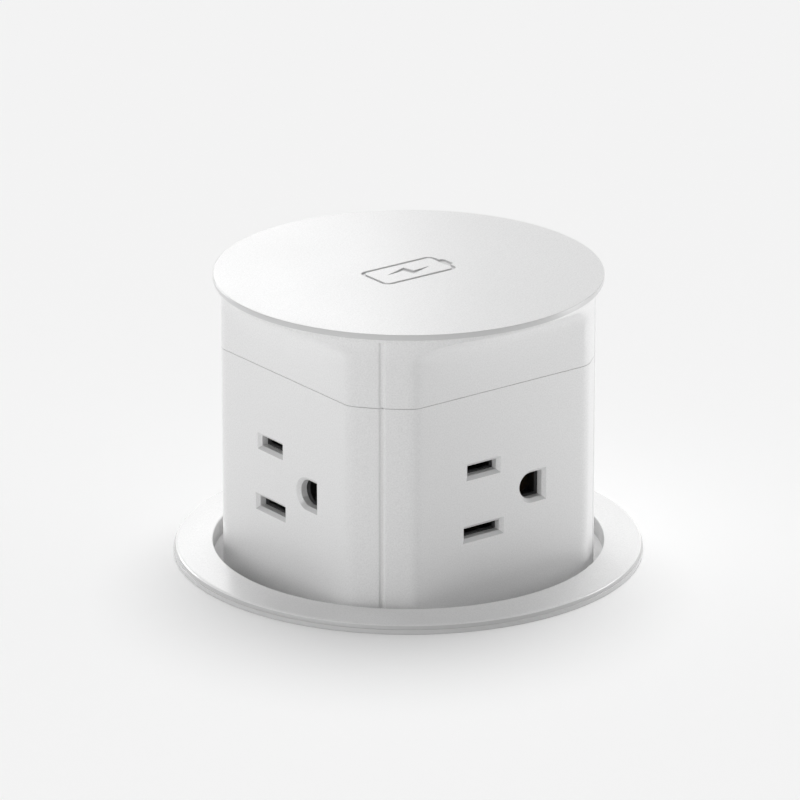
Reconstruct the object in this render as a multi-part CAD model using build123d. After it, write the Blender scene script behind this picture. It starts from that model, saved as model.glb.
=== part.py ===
from build123d import *
import math
import os

# Pop up desk socket. Millimetres, +Z up. The origin is the middle of the desk hole, level with the
# desk's surface. The tower is modelled raised. Its outlets face -Y, -X and +X, its USB ports +Y.

# Tower outside
tower_r = 36.37
flat_inset = 6.4
blend_r = 4.0
parting_gap = 0.25
collar_height = 13.6
flare_height = 4.6
flare_top = 0.5
groove_width = 1.4
groove_depth = 0.4
shell_wall = 2.0
corner_degrees = (45, 135, 225, 315)

# Lid and the mouth that it drops into
lid_overhang = 1.535
lid_rim = 1.17
lid_edge = 0.25
lid_gap = 0.485
band_inset = 0.4
band_height = 0.6
mouth_z = 2.26
rise = 55.01
over_travel = 1.5
seat_depth = 3.71

# Desk flange
flange_lip = 7.71
flange_draft = 0.36
flange_edge_z = 1.85
flange_bevel = 0.25
throat_gap = 0.33
collar_depth = 4.0
spigot_depth = 4.0
spigot_inset = 1.0
spigot_gap = 0.1

# Foam gasket in the underside of the flange
gasket_in = 1.3
gasket_out = 1.7
gasket_depth = 0.8
gasket_gap = 0.15

# Casing tube below the desk
bore_gap = 1.1
casing_wall = 1.2
thread_depth = 0.6
thread_pitch = 4.0
thread_crest = 0.9
thread_flank = 0.5
thread_start = 12.0
boss_wall = 2.0
boss_height = 10.0

# Screws of the cap, the latch and the tower base
screw_r = 1.25
screw_head_r = 2.75
screw_head_h = 1.6
screw_hole_gap = 0.35
screw_tap_gap = 0.15
screw_sink_gap = 0.15
screw_head_cover = 0.2

# Bottom cap
cap_thick = 3.0
cap_inset = 0.1
cap_screw_bite = 6.8

# Cord gland in the bottom cap
cord_hole_r = 4.0
gland_r = 6.5
gland_flange_r = 9.0
gland_flange = 1.5
gland_length = 11.0
gland_fit_gap = 0.05
gland_sink_gap = 0.1
gland_nut_flats = 16.0
gland_nut_height = 4.0

# Clamp washer and ring nut under the desk
desk_thickness = 25.0
washer_width = 12.1
washer_thick = 2.5
nut_wall = 9.1
nut_height = 12.0
nut_grips = 12
nut_grip_r = 5.0
nut_grip_depth = 2.0
nut_running_gap = 0.3

# Lift spring
spring_latch_gap = 0.45
spring_wire = 1.6
spring_turns = 9
spring_end_gap = 0.6
spring_seat_gap = 0.1

# Tower base, wider than the throat, so that it stops the tower
base_height = 15.8
base_side_gap = 0.3
base_wall = 5.0
base_floor = 2.5
base_post_wall = 0.5
lead_slot_width = 12.0
lead_slot_depth = 5.0
lead_slot_inset = 5.47
stop_gap = 0.2
base_screw_bite = 10.0

# Frame inside the tower
core_gap = 0.1
core_wall = 1.6
core_above_parting = 4.1
core_post_wall = 1.8
core_post_lap = 0.9
window_side = 1.8
window_margin = 2.0
rib_gap = 0.05

# Outlet, seen from outside with u to the right, from the tower's centre line
blade_u = -4.6
short_slot_drop = 15.5
slot_spacing = 12.65
short_slot_width = 6.95
long_slot_width = 8.55
slot_height = 2.1
ground_u = 7.25
ground_drop = 6.32
ground_r = 2.66
ground_flat = 2.73
hole_bevel = 0.67
hole_bevel_degrees = 45

# Dark face behind each outlet's panel, and its two screws
face_thick = 3.0
face_slot_gap = 0.3
face_side_gap = 1.3
face_reach = 4.8
face_screw_inset = 1.9
face_screw_gap = 0.2
face_screw_r = 0.9
face_screw_hole_gap = 0.1
face_screw_tap_gap = 0.05
face_screw_head_r = 1.6
face_screw_head_h = 1.0

# Socket block behind each face
block_side_wall = 1.35
block_end_wall = 2.5
block_corner_gap = 0.3
block_rear = 1.3
cavity_side = 0.8

# Contacts in the socket blocks
leaf_thick = 0.5
leaf_gap = 1.5
leaf_room = 1.05
leaf_front_gap = 2.47
contact_slack = 0.3
sleeve_r = 2.5
sleeve_room = 0.4
tail_width = 4.0
tail_thick = 0.8
tail_reach = 0.3
tail_gap = 0.1

# Busbars that join the contacts
busbar_thick = 0.8
busbar_hole_r = 5.0
busbar_back = 8.0

# USB board, shells and tongues behind the +Y panel
board_gap = 0.7
board_thick = 1.6
board_side_gap = 3.0
board_below = 6.5
board_above = 7.0
usb_c_drop = 21.8
usb_a_below = 9.6
usb_a_above = 9.9
usb_a_width = 13.1
usb_a_height = 5.7
usb_a_wall = 0.35
usb_a_corner_share = 0.12
usb_c_width = 8.94
usb_c_height = 3.26
usb_c_wall = 0.3
usb_c_corner_share = 0.49
usb_inset = 0.4
usb_seat_gap = 0.1
port_gap = 0.2
tongue_a_width = 11.0
tongue_a_thick = 1.8
tongue_a_lift = 1.2
tongue_c_width = 6.6
tongue_c_thick = 0.7
tongue_inset = 1.5

# Tray under the lid with the charging parts
tray_side_gap = 0.47
tray_wall = 1.5
tray_floor = 1.5
tray_gap = 0.3
lid_ring_gap = 0.1
lid_ring_wall = 1.2
lid_ring_depth = 0.9
shelf_width = 1.6
shelf_drop = 3.3
ferrite_thick = 0.8
coil_side_gap = 4.0
coil_width = 12.0
coil_thick = 1.1
pcb_side_gap = 3.0
pcb_thick = 1.2
pcb_lift = 1.0
standoff_r = 1.8
standoff_inset = 4.0
charge_gap = 0.1

# Battery sign cut in the lid
sign_length = 16.6
sign_width = 8.8
sign_corner = 1.6
sign_line = 0.4
sign_depth = 0.2
nub_length = 1.2
nub_width = 3.4
bolt_reach = 4.6
bolt_step = 1.5
bolt_kink = 0.5

# Rotary damper on the tower base and its rack in the casing
gear_module = 0.8
pinion_teeth = 18
pressure_deg = 20.0
gear_backlash = 0.16
dedendum_share = 1.25
pinion_width = 2.6
damper_over = 0.3
damper_thick = 2.2
damper_side_gap = 0.3
axle_r = 1.5
axle_gap = 0.05
axle_over = 0.3
rack_back = 4.8
rack_wall_gap = 0.05
rack_top_gap = 0.1
rack_end_margin = 1.2

# Push latch on the bottom cap and the strike under the tower
strike_foot = 4.0
strike_plate_thick = 1.5
neck_half = 1.2
neck_length = 8.0
head_half = 3.0
head_length = 4.5
head_taper = 1.8
strike_half_width = 2.0
jaw_side_gap = 0.4
jaw_thick = 2.4
jaw_half_width = 2.0
jaw_open_deg = 12.0
nose_gap = 0.3
nose_height = 3.2
nose_ramp = 1.6
pivot_drop = 8.8
pivot_lift = 4.99
jaw_boss_r = 2.2
pivot_pin_r = 1.0
pin_gap = 0.04
pin_press_gap = 0.01
latch_end_wall = 1.7
latch_foot = 4.2
latch_floor = 2.0
latch_side_gap = 0.3
latch_side_thick = 2.0
latch_side_top = 2.6
latch_screw_inset_x = 3.0
latch_screw_inset_y = 2.1
latch_screw_bite = 1.4

overrun = 1.0

# Radii worked out from the tower's, outwards
tower_flat = tower_r - flat_inset
lid_r = tower_r + lid_overhang
mouth_r = lid_r + lid_gap
flange_r = mouth_r + flange_lip
throat_r = tower_r + throat_gap
bore_r = throat_r + bore_gap
root_r = bore_r + casing_wall
barrel_r = root_r + thread_depth
spigot_r = barrel_r - spigot_inset
base_r = bore_r - base_side_gap
nut_bore_r = barrel_r + nut_running_gap
washer_r = nut_bore_r + washer_width
nut_r = nut_bore_r + nut_wall

# Radii inside the tower
core_r = tower_r - shell_wall - core_gap
core_flat = tower_flat - shell_wall - core_gap
tray_r = tower_flat - shell_wall - tray_side_gap
tray_in_r = tray_r - tray_wall
pcb_r = tray_in_r - pcb_side_gap
coil_outer_r = tray_in_r - coil_side_gap
coil_inner_r = coil_outer_r - coil_width

# Heights from the desk up
seat_z = mouth_z - seat_depth
lid_top_z = mouth_z + rise
lid_low_z = lid_top_z - lid_rim
band_low_z = lid_low_z - band_height
parting_z = band_low_z - collar_height
collar_low_z = parting_z + parting_gap / 2
panel_top_z = parting_z - parting_gap / 2
core_top_z = panel_top_z + core_above_parting
tray_low_z = core_top_z + tray_gap
travel = rise + over_travel

# Screw holes and posts
screw_hole_r = screw_r + screw_hole_gap
screw_tap_r = screw_r + screw_tap_gap
screw_sink_r = screw_head_r + screw_sink_gap
screw_sink_depth = screw_head_h + screw_head_cover
boss_r = screw_tap_r + boss_wall
base_post_r = screw_sink_r + base_post_wall
core_post_r = screw_tap_r + core_post_wall
post_ring_r = core_r - core_wall - core_post_r + core_post_lap

# Pinion and rack
pitch_r = gear_module * pinion_teeth / 2
tooth_pitch = math.pi * gear_module

# Heights from the desk down
spigot_low_z = -collar_depth - spigot_depth
casing_top_z = -collar_depth - stop_gap / 2
base_top_z = spigot_low_z - stop_gap
base_low_z = base_top_z - base_height
panel_low_z = base_top_z
pinion_z = spigot_low_z - rack_top_gap - rack_end_margin - pitch_r
neck_low_z = base_low_z - strike_plate_thick - neck_length
nose_low_z = neck_low_z - rise + nose_gap
pivot_z = nose_low_z - pivot_drop
casing_low_z = pivot_z - pivot_lift
cap_low_z = casing_low_z - cap_thick

# Latch, the spring round it and the gland beside the spring
pivot_x = head_half + jaw_side_gap + jaw_boss_r
latch_half_length = pivot_x + jaw_boss_r + latch_end_wall
latch_side_out = jaw_half_width + latch_side_gap + latch_side_thick
latch_half_width = latch_side_out + latch_foot
spring_r = math.hypot(latch_half_length, latch_half_width) + spring_latch_gap + spring_wire / 2
gland_y = (bore_r + spring_r + spring_wire / 2) / 2

# Outlet and socket block
short_slot_z = parting_z - short_slot_drop
long_slot_z = short_slot_z - slot_spacing
ground_z = short_slot_z - ground_drop
cavity_height = leaf_gap + 2 * leaf_thick + 2 * leaf_room
ground_cavity_r = sleeve_r + leaf_thick + sleeve_room
block_u_low = blade_u - long_slot_width / 2 - cavity_side - block_side_wall
block_u_high = ground_u + ground_cavity_r + block_side_wall
block_z_low = long_slot_z - cavity_height / 2 - block_end_wall
block_z_high = short_slot_z + cavity_height / 2 + block_end_wall
block_back = max(block_u_high, -block_u_low) + block_corner_gap
contact_back = block_back + block_rear + contact_slack
leaf_length = core_flat - face_thick - contact_back - leaf_thick - leaf_front_gap
face_z_low = block_z_low - face_reach
face_z_high = block_z_high + face_reach
window_half = post_ring_r / math.sqrt(2) - core_post_r - window_side
face_half = window_half - face_side_gap
face_screw_u = face_half - face_screw_inset
face_screw_z_low = block_z_low - face_screw_head_r - face_screw_gap
face_screw_z_high = block_z_high + face_screw_head_r + face_screw_gap
face_screw_length = face_thick + shell_wall / 2

# USB ports and their board
usb_c_z = parting_z - usb_c_drop
usb_a_z_low = usb_c_z - usb_a_below
usb_a_z_high = usb_c_z + usb_a_above
board_y = block_back + board_gap
shell_back_y = board_y + board_thick + usb_seat_gap
port_face_y = tower_flat - usb_inset
board_half = window_half - board_side_gap


def prism(outline, low, high):
    """An outline in the XY plane carried from one height to another."""
    return extrude(Pos(0, 0, low) * outline, high - low, dir=(0, 0, 1))


def tube(outer, inner, low, high):
    """A round ring between two heights."""
    return prism(Circle(outer) - Circle(inner), low, high)


def block(x_low, x_high, y_low, y_high, z_low, z_high):
    """A box given by its two corners."""
    centre = Pos((x_low + x_high) / 2, (y_low + y_high) / 2, (z_low + z_high) / 2)
    return centre * Box(x_high - x_low, y_high - y_low, z_high - z_low)


def squared_disc(radius, flat):
    """A disc with four flats, the section of the tower."""
    return Circle(radius) & Rectangle(2 * flat, 2 * flat)


def tower_outline():
    """The tower's outside section, with its flats blended into the round corners."""
    outline = squared_disc(tower_r, tower_flat)
    return fillet(outline.vertices(), blend_r)


def side_prism(outline, y_low, y_high):
    """An outline drawn in X and Z, carried along Y."""
    plane = Plane(origin=(0, y_high, 0), x_dir=(1, 0, 0), z_dir=(0, -1, 0))
    return extrude(plane * outline, y_high - y_low, dir=(0, -1, 0))


def corner_places(distance, height):
    """The four places on the diagonals, at a distance from the axis."""
    side = distance / math.sqrt(2)
    return [Pos(x, y, height) for x in (-side, side) for y in (-side, side)]


def screw(length, radius, head_radius, head_height):
    """A round headed screw, its shank up from z 0 and its head below."""
    shank = prism(Circle(radius), 0, length)
    return shank + prism(Circle(head_radius), -head_height, 0)


def desk_flange():
    """The ring on the desk, with the lid's seat and the spigot that enters the casing."""
    edge_r = flange_r - flange_draft
    profile = Polygon(
        (throat_r, spigot_low_z),
        (spigot_r, spigot_low_z),
        (spigot_r, -collar_depth),
        (barrel_r, -collar_depth),
        (barrel_r, 0),
        (flange_r, 0),
        (edge_r, flange_edge_z - flange_bevel),
        (edge_r - flange_bevel, flange_edge_z),
        (mouth_r + flange_bevel, mouth_z),
        (mouth_r, mouth_z - flange_bevel),
        (mouth_r, seat_z),
        (throat_r, seat_z),
        align=None,
    )
    ring = revolve(Plane.XZ * profile, Axis.Z)
    groove = tube(flange_r - gasket_out, barrel_r + gasket_in, -overrun, gasket_depth)
    return ring - groove


def desk_gasket():
    """The foam ring in the flange's groove."""
    inner = barrel_r + gasket_in + gasket_gap
    return tube(flange_r - gasket_out - gasket_gap, inner, gasket_gap, gasket_depth)


def thread_profile():
    """Half section of the threaded barrel, as ridges one pitch apart."""
    points = [(bore_r, casing_low_z), (root_r, casing_low_z)]
    ridges = int((-casing_low_z - thread_start - thread_pitch) / thread_pitch)
    for ridge in range(ridges):
        foot = casing_low_z + thread_pitch * (ridge + 1 / 2)
        points.append((root_r, foot))
        points.append((barrel_r, foot + thread_flank))
        points.append((barrel_r, foot + thread_flank + thread_crest))
        points.append((root_r, foot + 2 * thread_flank + thread_crest))
    points += [(root_r, -thread_start), (barrel_r, -thread_start + thread_flank)]
    points += [(barrel_r, casing_top_z), (bore_r, casing_top_z)]
    return Polygon(*points, align=None)


def cap_screw_ring():
    """Distance of the cap screws from the axis, their bosses let into the wall."""
    return bore_r - boss_r / 2


def casing_tube():
    """The threaded barrel through the desk, with bosses for the cap's screws."""
    barrel = revolve(Plane.XZ * thread_profile(), Axis.Z)
    barrel -= prism(Circle(spigot_r + spigot_gap), base_top_z, overrun)
    within = prism(Circle(bore_r + casing_wall / 2), casing_low_z, 0)
    for place in corner_places(cap_screw_ring(), casing_low_z):
        barrel += place * prism(Circle(boss_r), 0, boss_height) & within
        barrel -= place * prism(Circle(screw_tap_r), -overrun, boss_height - overrun)
    return barrel


def latch_screw_places(height):
    """Places of the two screws that hold the latch."""
    x, y = latch_half_length - latch_screw_inset_x, latch_half_width - latch_screw_inset_y
    return [Pos(side * x, side * y, height) for side in (-1, 1)]


def bottom_cap():
    """The round plate that closes the casing, with the gland's hole and screw holes."""
    low = cap_low_z
    cap = prism(Circle(barrel_r - cap_inset), low, casing_low_z)
    cap -= Pos(0, gland_y) * prism(Circle(gland_r + gland_fit_gap), low - overrun, 0)
    sunk_r = gland_flange_r + gland_sink_gap
    cap -= Pos(0, gland_y) * prism(Circle(sunk_r), low - overrun, low + gland_flange)
    for place in corner_places(cap_screw_ring(), low) + latch_screw_places(low):
        cap -= place * prism(Circle(screw_hole_r), -overrun, cap_thick + overrun)
        cap -= place * prism(Circle(screw_sink_r), -overrun, screw_sink_depth)
    return cap


def cap_screws():
    """Four screws up through the cap into the casing's bosses."""
    height = cap_low_z + screw_sink_depth
    length = casing_low_z - height + cap_screw_bite
    one = screw(length, screw_r, screw_head_r, screw_head_h)
    return [place * one for place in corner_places(cap_screw_ring(), height)]


def cord_gland():
    """The bush that the cord enters by, its flange let into the cap."""
    low = cap_low_z
    body = prism(Circle(gland_r), low, low + gland_length)
    body += prism(Circle(gland_flange_r), low, low + gland_flange)
    body -= prism(Circle(cord_hole_r), low - overrun, low + gland_length + overrun)
    return Pos(0, gland_y) * body


def gland_nut():
    """The hexagon nut that holds the gland from inside."""
    hexagon = RegularPolygon(gland_nut_flats / 2, 6, major_radius=False)
    outline = hexagon - Circle(gland_r + gland_fit_gap)
    return Pos(0, gland_y) * prism(outline, casing_low_z, casing_low_z + gland_nut_height)


def clamp_washer():
    """The flat ring that presses on the desk from below."""
    top = -desk_thickness
    return tube(washer_r, nut_bore_r, top - washer_thick, top)


def ring_nut():
    """The large nut on the casing's thread, with scallops to grip."""
    top = -desk_thickness - washer_thick - nut_running_gap
    nut = tube(nut_r, nut_bore_r, top - nut_height, top)
    scallop = prism(Circle(nut_grip_r), top - nut_height - overrun, top + overrun)
    reach = nut_r + nut_grip_r - nut_grip_depth
    for grip in range(nut_grips):
        nut -= Rot(0, 0, 360 * grip / nut_grips) * Pos(reach, 0) * scallop
    return nut


def spring_half_turns():
    """Points and tangents of the spring's centre line, one for each half turn."""
    low = casing_low_z + spring_seat_gap + spring_wire / 2
    high = base_low_z - spring_seat_gap - spring_wire / 2
    halves = 2 * spring_turns
    closed = (spring_wire + spring_end_gap) / 2
    steady = (high - low - 4 * closed) / (halves - 4)
    steps = [closed] * 2 + [steady] * (halves - 4) + [closed] * 2
    slopes = [steps[0]] + [(a + b) / 2 for a, b in zip(steps, steps[1:])] + [steps[-1]]
    stations = []
    height = low
    for half, slope in enumerate(slopes):
        angle = math.pi * half
        across = Vector(math.cos(angle), math.sin(angle), 0)
        along = Vector(-math.sin(angle), math.cos(angle), slope / (math.pi * spring_r))
        stations.append((across * spring_r + Vector(0, 0, height), along.normalized()))
        height += steps[half] if half < halves else 0
    return stations


def biarc(start, start_dir, end, end_dir):
    """Two tangent arcs from one point and direction to another."""
    chord = end - start
    both = start_dir + end_dir
    turn = 2 * (1 - start_dir.dot(end_dir))
    root = math.sqrt(chord.dot(both) ** 2 + turn * chord.dot(chord))
    reach = (root - chord.dot(both)) / turn
    first = start + start_dir * reach
    last = end - end_dir * reach
    middle = (first + last) * (1 / 2)
    return [
        TangentArc(start, middle, tangent=start_dir),
        TangentArc(middle, end, tangent=(last - first).normalized()),
    ]


def least_gap(edges):
    """Smallest space between one turn of the spring and another."""
    samples = [edge @ (step / 6) for edge in edges for step in range(6)]
    half_turn = len(samples) // (2 * spring_turns)
    gaps = []
    for index, point in enumerate(samples):
        for other in samples[index + half_turn:]:
            gaps.append((other - point).length)
    return min(gaps) - spring_wire


def lift_spring():
    """The coil that raises the tower, one unbroken wire."""
    stations = spring_half_turns()
    edges = []
    for (start, start_dir), (end, end_dir) in zip(stations, stations[1:]):
        edges += biarc(start, start_dir, end, end_dir)
    print("least gap of the lift spring", round(least_gap(edges), 2))
    section = Plane(origin=stations[0][0], z_dir=stations[0][1]) * Circle(spring_wire / 2)
    return sweep(section, path=Wire(edges))


def involute_pinion():
    """Outline of the pinion: involute flanks between the tip and root circles."""
    pressure = math.radians(pressure_deg)
    base_r = pitch_r * math.cos(pressure)
    tip_r = pitch_r + gear_module
    foot_r = pitch_r - dedendum_share * gear_module
    half_tooth = (tooth_pitch - gear_backlash) / 2 / (2 * pitch_r)
    swing = half_tooth + math.tan(pressure) - pressure
    flank = []
    for share in (0, 1 / 4, 1 / 2, 3 / 4, 1):
        radius = base_r + (tip_r - base_r) * share
        roll = math.acos(min(1, base_r / radius))
        flank.append((radius, swing - (math.tan(roll) - roll)))
    points = []
    for tooth in range(pinion_teeth):
        middle = 2 * math.pi * tooth / pinion_teeth
        polar = [(foot_r, -swing)] + [(radius, -angle) for radius, angle in flank]
        polar += [(radius, angle) for radius, angle in reversed(flank)] + [(foot_r, swing)]
        points += [(r * math.cos(middle + a), r * math.sin(middle + a)) for r, a in polar]
    return Polygon(*points, align=None)


def damper_y():
    """Inner and outer side of the pinion, outwards of the damper's body."""
    inner = tower_flat + damper_thick + damper_side_gap
    return inner, inner + pinion_width


def damper_pinion():
    """The small gear that runs up and down the rack."""
    inner, outer = damper_y()
    wheel = involute_pinion() - Circle(axle_r + axle_gap)
    return Pos(0, 0, pinion_z) * side_prism(wheel, inner, outer)


def damper_housing():
    """The silicone damper's body on the tower base, with the pinion's axle."""
    body = side_prism(Circle(pitch_r + damper_over), tower_flat, tower_flat + damper_thick)
    axle = side_prism(Circle(axle_r), tower_flat, damper_y()[1] + axle_over)
    return Pos(0, 0, pinion_z) * (body + axle)


def damper_rack():
    """The toothed bar on the casing's wall that turns the pinion."""
    inner, outer = damper_y()
    tip_x = pitch_r - gear_module
    root_x = pitch_r + dedendum_share * gear_module
    flank_tan = math.tan(math.radians(pressure_deg))
    half_tooth = (tooth_pitch - gear_backlash) / 4
    tip_half = half_tooth - gear_module * flank_tan
    root_half = half_tooth + dedendum_share * gear_module * flank_tan
    top = pinion_z + pitch_r + rack_end_margin
    low = pinion_z - travel - pitch_r - rack_end_margin
    points = [(root_x + rack_back, low), (root_x, low)]
    teeth = int((top - low) / tooth_pitch)
    first = math.ceil((low - pinion_z + root_half) / tooth_pitch - 1 / 2)
    for tooth in range(first, first + teeth):
        middle = pinion_z + (tooth + 1 / 2) * tooth_pitch
        if middle + root_half < top:
            points.append((root_x, middle - root_half))
            points.append((tip_x, middle - tip_half))
            points.append((tip_x, middle + tip_half))
            points.append((root_x, middle + root_half))
    points += [(root_x, top), (root_x + rack_back, top)]
    bar = side_prism(Polygon(*points, align=None), inner, outer)
    back = block(root_x, root_x + rack_back, inner, bore_r, low, top)
    return (bar + back) & prism(Circle(bore_r - rack_wall_gap), low, top)


def strike():
    """The hook under the tower that the latch's jaws close on."""
    top = base_low_z
    neck_low = neck_low_z
    head_low = neck_low - head_length
    outline = Polygon(
        (-neck_half, top),
        (-neck_half, neck_low),
        (-head_half, neck_low),
        (-head_half, head_low + head_taper),
        (-neck_half, head_low),
        (neck_half, head_low),
        (head_half, head_low + head_taper),
        (head_half, neck_low),
        (neck_half, neck_low),
        (neck_half, top),
        align=None,
    )
    hook = side_prism(outline, -strike_half_width, strike_half_width)
    plate_side = 2 * (head_half + strike_foot)
    plate = prism(Rectangle(plate_side, plate_side), top - strike_plate_thick, top)
    return hook + plate


def latch_jaw():
    """The jaw on the +X side, turned open about its pivot."""
    nose_low = nose_low_z
    inner = head_half + jaw_side_gap
    outer = inner + jaw_thick
    tip = neck_half + nose_gap
    outline = Polygon(
        (inner, pivot_z),
        (outer, pivot_z),
        (outer, nose_low + nose_height),
        (inner, nose_low + nose_height),
        (tip, nose_low + nose_height - nose_ramp),
        (tip, nose_low),
        (inner, nose_low),
        align=None,
    )
    outline += Pos(pivot_x, pivot_z) * Circle(jaw_boss_r)
    outline -= Pos(pivot_x, pivot_z) * Circle(pivot_pin_r + pin_gap)
    closed = side_prism(outline, -jaw_half_width, jaw_half_width)
    return closed.rotate(Axis((pivot_x, 0, pivot_z), (0, 1, 0)), jaw_open_deg)


def latch_housing():
    """The bracket on the cap that holds the two jaws between its sides."""
    top = pivot_z + latch_side_top
    outer = latch_side_out
    foot = block(
        -latch_half_length, latch_half_length, -latch_half_width, latch_half_width,
        casing_low_z, casing_low_z + latch_floor,
    )
    for y_low in (-outer, outer - latch_side_thick):
        y_high = y_low + latch_side_thick
        foot += block(-latch_half_length, latch_half_length, y_low, y_high, casing_low_z, top)
    for side in (-1, 1):
        hole = Pos(side * pivot_x, pivot_z) * Circle(pivot_pin_r + pin_press_gap)
        foot -= side_prism(hole, -outer - overrun, outer + overrun)
    for place in latch_screw_places(casing_low_z):
        foot -= place * prism(Circle(screw_tap_r), -overrun, latch_floor + overrun)
    return foot


def latch_screws():
    """Two screws up through the cap into the latch's foot."""
    height = cap_low_z + screw_sink_depth
    length = casing_low_z - height + latch_screw_bite
    one = screw(length, screw_r, screw_head_r, screw_head_h)
    return [place * one for place in latch_screw_places(height)]


def latch_pins():
    """The two pins that the jaws turn on."""
    pins = []
    for side in (-1, 1):
        outline = Pos(side * pivot_x, pivot_z) * Circle(pivot_pin_r)
        pins.append(side_prism(outline, -latch_side_out, latch_side_out))
    return pins


def base_post_places(height):
    """Places of the four screw posts, on the diagonals."""
    return corner_places(post_ring_r, height)


def tower_base():
    """The carrier under the tower, with the rim that meets the flange's spigot."""
    outline = squared_disc(base_r, tower_flat)
    inside = squared_disc(base_r - base_wall, tower_flat - base_wall)
    base = prism(outline, base_low_z, base_top_z)
    base -= prism(inside, base_low_z + base_floor, base_top_z + overrun)
    for place in base_post_places(base_low_z):
        base += place * prism(Circle(base_post_r), 0, base_height)
        base -= place * prism(Circle(screw_hole_r), -overrun, base_height + overrun)
        base -= place * prism(Circle(screw_sink_r), -overrun, screw_sink_depth)
    slot_y = tower_flat - base_wall - lead_slot_inset
    slot = Pos(0, slot_y) * Rectangle(lead_slot_width, lead_slot_depth)
    return base - prism(slot, base_low_z - overrun, base_low_z + base_floor + overrun)


def base_screws():
    """Four screws up through the base into the frame's posts."""
    length = base_height - screw_sink_depth + base_screw_bite
    one = screw(length, screw_r, screw_head_r, screw_head_h)
    return [place * one for place in base_post_places(base_low_z + screw_sink_depth)]


def tower_core():
    """The frame that carries the panels, with ribs that show in the corner grooves."""
    outline = squared_disc(core_r, core_flat)
    inside = squared_disc(core_r - core_wall, core_flat - core_wall)
    core = prism(outline - inside, panel_low_z, core_top_z)
    for place in base_post_places(panel_low_z):
        core += place * prism(Circle(core_post_r), 0, panel_top_z - panel_low_z)
        core -= place * prism(Circle(screw_tap_r), -overrun, base_screw_bite + overrun)
    rib_half = groove_width / 2 - rib_gap
    rib = block(core_r - core_wall, tower_r - groove_depth, -rib_half, rib_half, panel_low_z, panel_top_z)
    for corner in corner_degrees:
        core += Rot(0, 0, corner) * rib
    low, high = face_z_low - window_margin, face_z_high + window_margin
    for quarter in (0, 90):
        core -= Rot(0, 0, quarter) * block(-window_half, window_half, -core_r, core_r, low, high)
    return core


def quarter_shell():
    """The wall of one face panel, which faces -Y, from one corner groove to the next."""
    wall = tower_outline() - squared_disc(tower_r - shell_wall, tower_flat - shell_wall)
    apex = groove_width / math.sqrt(2)
    reach = 2 * tower_r
    wedge = Polygon((0, -apex), (-reach, -reach - apex), (reach, -reach - apex), align=None)
    return prism(wall, panel_low_z, panel_top_z) & prism(wedge, panel_low_z, panel_top_z)


def inward(distance):
    """A plane that faces +Y at a distance in front of the axis; its y axis points down."""
    return Plane(origin=(0, -distance, 0), x_dir=(1, 0, 0), z_dir=(0, 1, 0))


def outlet_outlines(grow):
    """The two blade slots and the ground hole, each wider by grow all round."""
    short = Rectangle(short_slot_width + 2 * grow, slot_height + 2 * grow)
    long = Rectangle(long_slot_width + 2 * grow, slot_height + 2 * grow)
    flat = Pos((ground_flat + grow) / 2, 0) * Rectangle(ground_flat + grow, 2 * (ground_r + grow))
    ground = Circle(ground_r + grow) + flat
    return [
        Pos(blade_u, -short_slot_z) * short,
        Pos(blade_u, -long_slot_z) * long,
        Pos(ground_u, -ground_z) * ground,
    ]


def outlet_panel():
    """A face panel with one outlet, its holes bevelled outside."""
    panel = quarter_shell()
    for outline in outlet_outlines(hole_bevel + overrun / 2):
        start = inward(tower_flat + overrun / 2)
        panel -= extrude(start * outline, hole_bevel + overrun / 2, taper=hole_bevel_degrees)
    for outline in outlet_outlines(0):
        panel -= extrude(inward(tower_flat) * outline, shell_wall + overrun)
    for side, height in face_screw_places():
        hole = Pos(side, -height) * Circle(face_screw_r + face_screw_tap_gap)
        panel -= extrude(inward(tower_flat - shell_wall / 2) * hole, shell_wall)
    return panel


def face_screw_places():
    """Places of the screws that hold a face to its panel."""
    return [(-face_screw_u, face_screw_z_low), (face_screw_u, face_screw_z_high)]


def outlet_face():
    """The dark plate behind a panel, in which the contacts' slots show."""
    face = block(-face_half, face_half, -core_flat, -core_flat + face_thick, face_z_low, face_z_high)
    start = inward(core_flat + overrun)
    for outline in outlet_outlines(face_slot_gap):
        face -= extrude(start * outline, face_thick + 2 * overrun)
    for side, height in face_screw_places():
        hole = Pos(side, -height) * Circle(face_screw_r + face_screw_hole_gap)
        face -= extrude(start * hole, face_thick + 2 * overrun)
    return face


def outlet_block():
    """The dark block welded to the back of a face, with a cavity for each contact."""
    front = core_flat - face_thick
    body = block(block_u_low, block_u_high, -front, -block_back, block_z_low, block_z_high)
    depth = front - block_back - block_rear
    for height, width in ((short_slot_z, short_slot_width), (long_slot_z, long_slot_width)):
        cavity = Pos(blade_u, -height) * Rectangle(width + 2 * cavity_side, cavity_height)
        body -= extrude(inward(front) * cavity, depth)
    ground = Pos(ground_u, -ground_z) * Circle(ground_cavity_r)
    body -= extrude(inward(front) * ground, depth)
    for u, height in contact_places():
        tail = Pos(u, -height) * Rectangle(tail_width + tail_gap, tail_thick + tail_gap)
        body -= extrude(inward(block_back + block_rear + overrun) * tail, block_rear + 2 * overrun)
    return body


def contact_places():
    """Line, neutral and ground contact, by distance from the centre line and height."""
    return [(blade_u, short_slot_z), (blade_u, long_slot_z), (ground_u, ground_z)]


def contact_tail(u, height):
    """The strip by which a contact leaves the back of its block."""
    start = contact_back + leaf_thick
    outline = inward(start) * (Pos(u, -height) * Rectangle(tail_width, tail_thick))
    return extrude(outline, start - block_back + tail_reach)


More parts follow.
